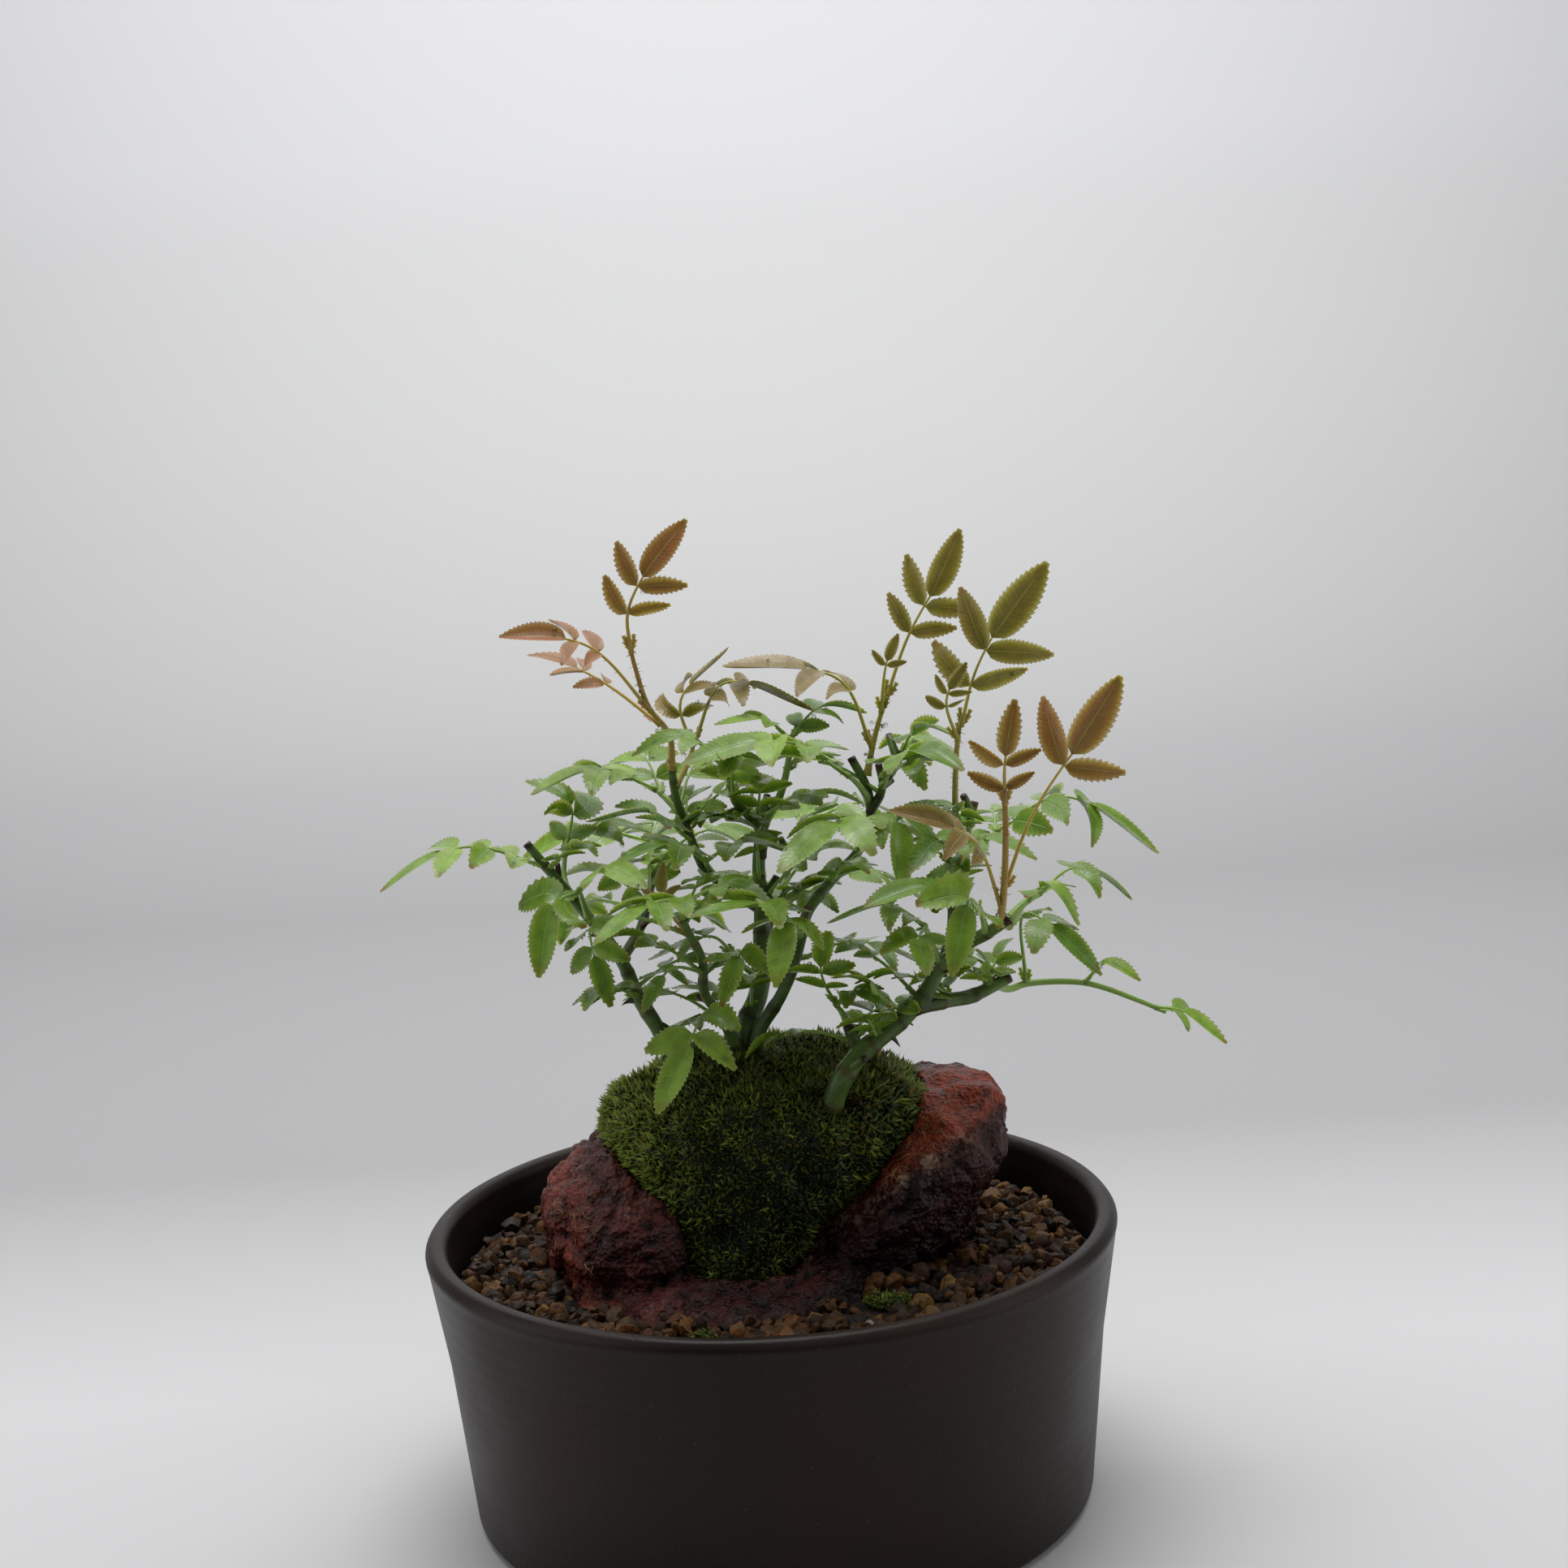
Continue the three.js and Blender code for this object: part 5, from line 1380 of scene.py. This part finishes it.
class BONSAI_OT_shoots(bpy.types.Operator):
    """Grows the leafy shoots: stems, rachises, serrated leaflets, stipules, prickles and red bristles"""

    bl_idname = "bonsai.shoots"
    bl_label = "Leafy shoots"

    def execute(self, context):
        looks = context.scene.bonsai.plant
        tints = (looks.leaf_deep, looks.leaf, looks.bronze, looks.red, looks.stem)
        deep, green, bronze, red, stem = ((*tint, 1) for tint in tints)
        skins = {
            "green": leaf_skin("rose leaf, green and wet", deep, green, colour("9a6a3a"), stem, 0.36),
            "bronze": leaf_skin("rose leaf, bronze", colour("5c642a"), bronze, red, colour("b4a850"), 0.4),
            "red": leaf_skin("rose leaf, newly opened", colour("6a5a2e"), bronze, red, colour("b89c4c"), 0.4),
        }
        drops = []
        flush = {"green": 0.0, "bronze": 0.3, "red": 0.8}
        for number, shoot in enumerate(SHOOTS):
            draws = Draws(1009 + 7919 * number)
            growth = Growth()
            blush = flush[shoot.finish]
            if shoot.stem:
                self.set_stem(growth, draws, shoot, blush)
            for leaf in shoot.leaves:
                redness = blush * clamp((leaf.points[-1][1] - 125) / 25, 0.15)
                set_leaf(growth, draws, leaf, looks, redness)
            drops += growth.drops
            growth.finish(f"{shoot.name}_grown", [skins[shoot.finish]], [shoot.name], shoot.finish)
        self.fill_crown(looks, skins["green"])
        self.hang_drops(drops)
        return {"FINISHED"}

    def fill_crown(self, looks, skin):
        """Smaller leaves that grow from the canes between the larger ones, inside the crown."""
        draws = Draws(6151)
        growth = Growth()
        arches = [Arch(cane.points) for cane in CANES]
        for _ in range(3 * looks.inner_leaves):
            foot = Vector(arches[int(draws.between(0, len(arches)))].at(draws.between(0.3, 1)))
            turn = draws.between(0, math.tau)
            out = Vector((math.cos(turn), math.sin(turn), draws.between(-0.1, 0.7))).normalized()
            length = draws.between(14, 25)
            tip = foot + out * length
            across, up = as_seen(tip)
            offsets = np.subtract((across, up, tip.y), CROWN_MIDDLE) / CROWN_HALF
            is_inside = offsets[0] ** 2 + offsets[1] ** 2 < 1 and abs(offsets[2]) < 1
            if foot.z < LOWEST_INNER_FOOT or not is_inside:
                continue
            rise = Vector((0, 0, 0.12 * length))
            path = [foot, foot.lerp(tip, 0.35) + rise, foot.lerp(tip, 0.7) + rise, tip]
            face = (draws.between(-0.35, 0.35), draws.between(-0.3, 0.3), 1)
            leaf = Leaf([(*as_seen(point), point.y) for point in path], draws.between(7.5, 11), 2, face)
            set_leaf(growth, draws, leaf, looks, tone=draws.between(0.2, 0.8))
        growth.finish("inner_leaves", [skin])

    def hang_drops(self, places):
        """Drops of rain, each a little ball that hangs where it was caught."""
        bm = bmesh.new()
        bmesh.ops.create_icosphere(bm, subdivisions=2, radius=1)
        ball = Template(smoothed(bm), "drop")
        draws = Draws(77)
        growth = Growth()
        for place in places:
            radius = draws.between(0.25, 0.52)
            growth.set_in(ball, ball.points * (radius, radius, radius * 1.15) + np.array(place))
        growth.finish("rain_drops", [rainwater()])

    def set_stem(self, growth, draws, shoot, blush):
        """A stem with a swollen foot, and bristles if it is young."""
        arch = Arch(shoot.stem)
        share = np.linspace(0, 1, max(4, round(arch.length)) + 1)
        radii = shoot.radius * (1 - 0.4 * share + 0.5 * np.exp(-share * arch.length / 1.5))
        set_rod(growth, arch.at(share), radii, 8, stem=1 - 0.7 * blush * share, blush=blush * share**1.5)
        if blush == 0:
            return
        for _ in range(round(arch.length * 2.2)):
            spot = draws.between(0.02, 0.98)
            at = Vector(arch.at(spot))
            ahead = Vector(arch.heading(spot))
            side = ahead.cross(draws.direction()).normalized()
            foot = at + side * shoot.radius * 0.7
            length = draws.between(0.5, 1.2)
            set_spike(growth, foot, side - 0.2 * ahead, 0.09, length, blush=0.9, tone=0.8)
            if draws.between(0, 1) < 0.14:
                growth.drops.append(foot + side * length)


class BONSAI_OT_stage(bpy.types.Operator):
    """Sets the pale floor and backdrop, the soft studio lights and the camera"""

    bl_idname = "bonsai.stage"
    bl_label = "Stage"

    def execute(self, context):
        looks = context.scene.bonsai.stage
        self.lay_backdrop()
        self.hang_light("overhead", (0, 0.12, 0.75), (0, 0, 0), 0.8, looks.top_light)
        self.hang_light("left", (-0.75, -0.1, 0.3), (0, 0, 0.08), 0.6, looks.side_light)
        self.hang_light("right", (0.75, -0.1, 0.3), (0, 0, 0.08), 0.6, looks.side_light)
        self.hang_light("wash", (0, 0.3, 1.3), (0, 1.35, 0.6), 0.8, looks.wash_light)
        world = bpy.data.worlds.new("soft daylight")
        world.use_nodes = True
        world.node_tree.nodes["Background"].inputs[0].default_value = colour("dfe2e6")
        world.node_tree.nodes["Background"].inputs[1].default_value = 0.15
        context.scene.world = world
        context.scene.view_settings.view_transform = "Standard"
        self.place_camera(context)
        return {"FINISHED"}

    def lay_backdrop(self):
        """A sheet swept up behind the pot, with painted shade where it turns and painted light above."""
        bend = 0.35
        reach = 1.0
        line = [(-1.6, 0)]
        turns = np.linspace(0, math.pi / 2, 13)
        line += [(reach + bend * math.sin(a), bend - bend * math.cos(a)) for a in turns]
        line += [(reach + bend, 1.8)]
        bm = bmesh.new()
        verts = [bm.verts.new((-2, y, z)) for y, z in line]
        edges = [bm.edges.new(pair) for pair in zip(verts, verts[1:])]
        swept = bmesh.ops.extrude_edge_only(bm, edges=edges)["geom"]
        bmesh.ops.translate(bm, vec=(4, 0, 0), verts=[v for v in swept if isinstance(v, bmesh.types.BMVert)])
        bmesh.ops.recalc_face_normals(bm, faces=bm.faces)
        mesh = mesh_of(smoothed(bm), "backdrop")
        made, tree, surface = new_material("pale paper, swept", roughness=0.9)
        split = add(tree, "ShaderNodeSeparateXYZ", None, {0: object_place(tree)})
        way = maths(tree, "ADD", split.outputs[1], split.outputs[2])
        # painted shade where the sheet turns and painted light above it
        shades = [
            (0.03, "d0d0d1"), (0.12, "a6a6a7"), (0.32, "a4a4a5"), (0.53, "c3c3c4"), (0.8, "e4e4e3"),
            (0.98, "f8f8f9"),
        ]
        tree.links.new(ramp(tree, between(tree, way, 0, 1.8), shades), surface.inputs["Base Color"])
        mesh.materials.append(made)
        backdrop = placed("backdrop", mesh)

    def hang_light(self, name, place, target, size, power):
        """A soft square light at a place, turned to its target."""
        light = bpy.data.lights.new(name, "AREA")
        light.shape = "SQUARE"
        light.size = size
        light.energy = power
        made = placed(name, light)
        made.location = place
        made.rotation_euler = (Vector(place) - Vector(target)).to_track_quat("Z", "Y").to_euler()

    def place_camera(self, context):
        """The camera stands a little above the foliage, tipped down and rolled a little to the side."""
        stand = (0, -0.4272, 0.19966)
        pitch, roll, yaw = math.radians(8.569), math.radians(-3.161), math.radians(0.933)
        camera = bpy.data.cameras.new("camera")
        camera.lens = 53.95
        camera.sensor_width = 36
        camera.clip_start = 0.01
        made = placed("camera", camera)
        turn = Matrix.Rotation(-yaw, 4, "Z") @ Matrix.Rotation(math.pi / 2 - pitch, 4, "X")
        made.matrix_world = Matrix.Translation(stand) @ turn @ Matrix.Rotation(roll, 4, "Z")
        context.scene.camera = made


PIECES = (
    BONSAI_OT_pot, BONSAI_OT_under_soil, BONSAI_OT_soil, BONSAI_OT_stone, BONSAI_OT_root_ball, BONSAI_OT_moss,
    BONSAI_OT_canes, BONSAI_OT_shoots, BONSAI_OT_stage,
)


class BONSAI_PT_panel(bpy.types.Panel):
    """Lists the bonsai's pieces and their settings"""

    bl_label = "Bonsai"
    bl_idname = "BONSAI_PT_panel"
    bl_space_type = "VIEW_3D"
    bl_region_type = "UI"
    bl_category = "Bonsai"

    def draw(self, context):
        for group in ("pot", "soil", "stone", "root_ball", "moss", "plant", "stage"):
            box = self.layout.box()
            box.label(text=group.replace("_", " ").capitalize())
            settings = getattr(context.scene.bonsai, group)
            for name in type(settings).__annotations__:
                box.prop(settings, name)
        for piece in PIECES:
            self.layout.operator(piece.bl_idname)


CLASSES = (
    BonsaiPotLooks, BonsaiSoilLooks, BonsaiStoneLooks, BonsaiRootBallLooks, BonsaiMossLooks, BonsaiPlantLooks,
    BonsaiStageLooks, BonsaiLooks, *PIECES, BONSAI_PT_panel,
)


def register():
    for cls in CLASSES:
        bpy.utils.register_class(cls)
    bpy.types.Scene.bonsai = PointerProperty(type=BonsaiLooks)


def unregister():
    del bpy.types.Scene.bonsai
    for cls in reversed(CLASSES):
        bpy.utils.unregister_class(cls)


def main():
    register()
    for piece in PIECES:
        group, name = piece.bl_idname.split(".")
        getattr(getattr(bpy.ops, group), name)()


if __name__ == "__main__":
    main()
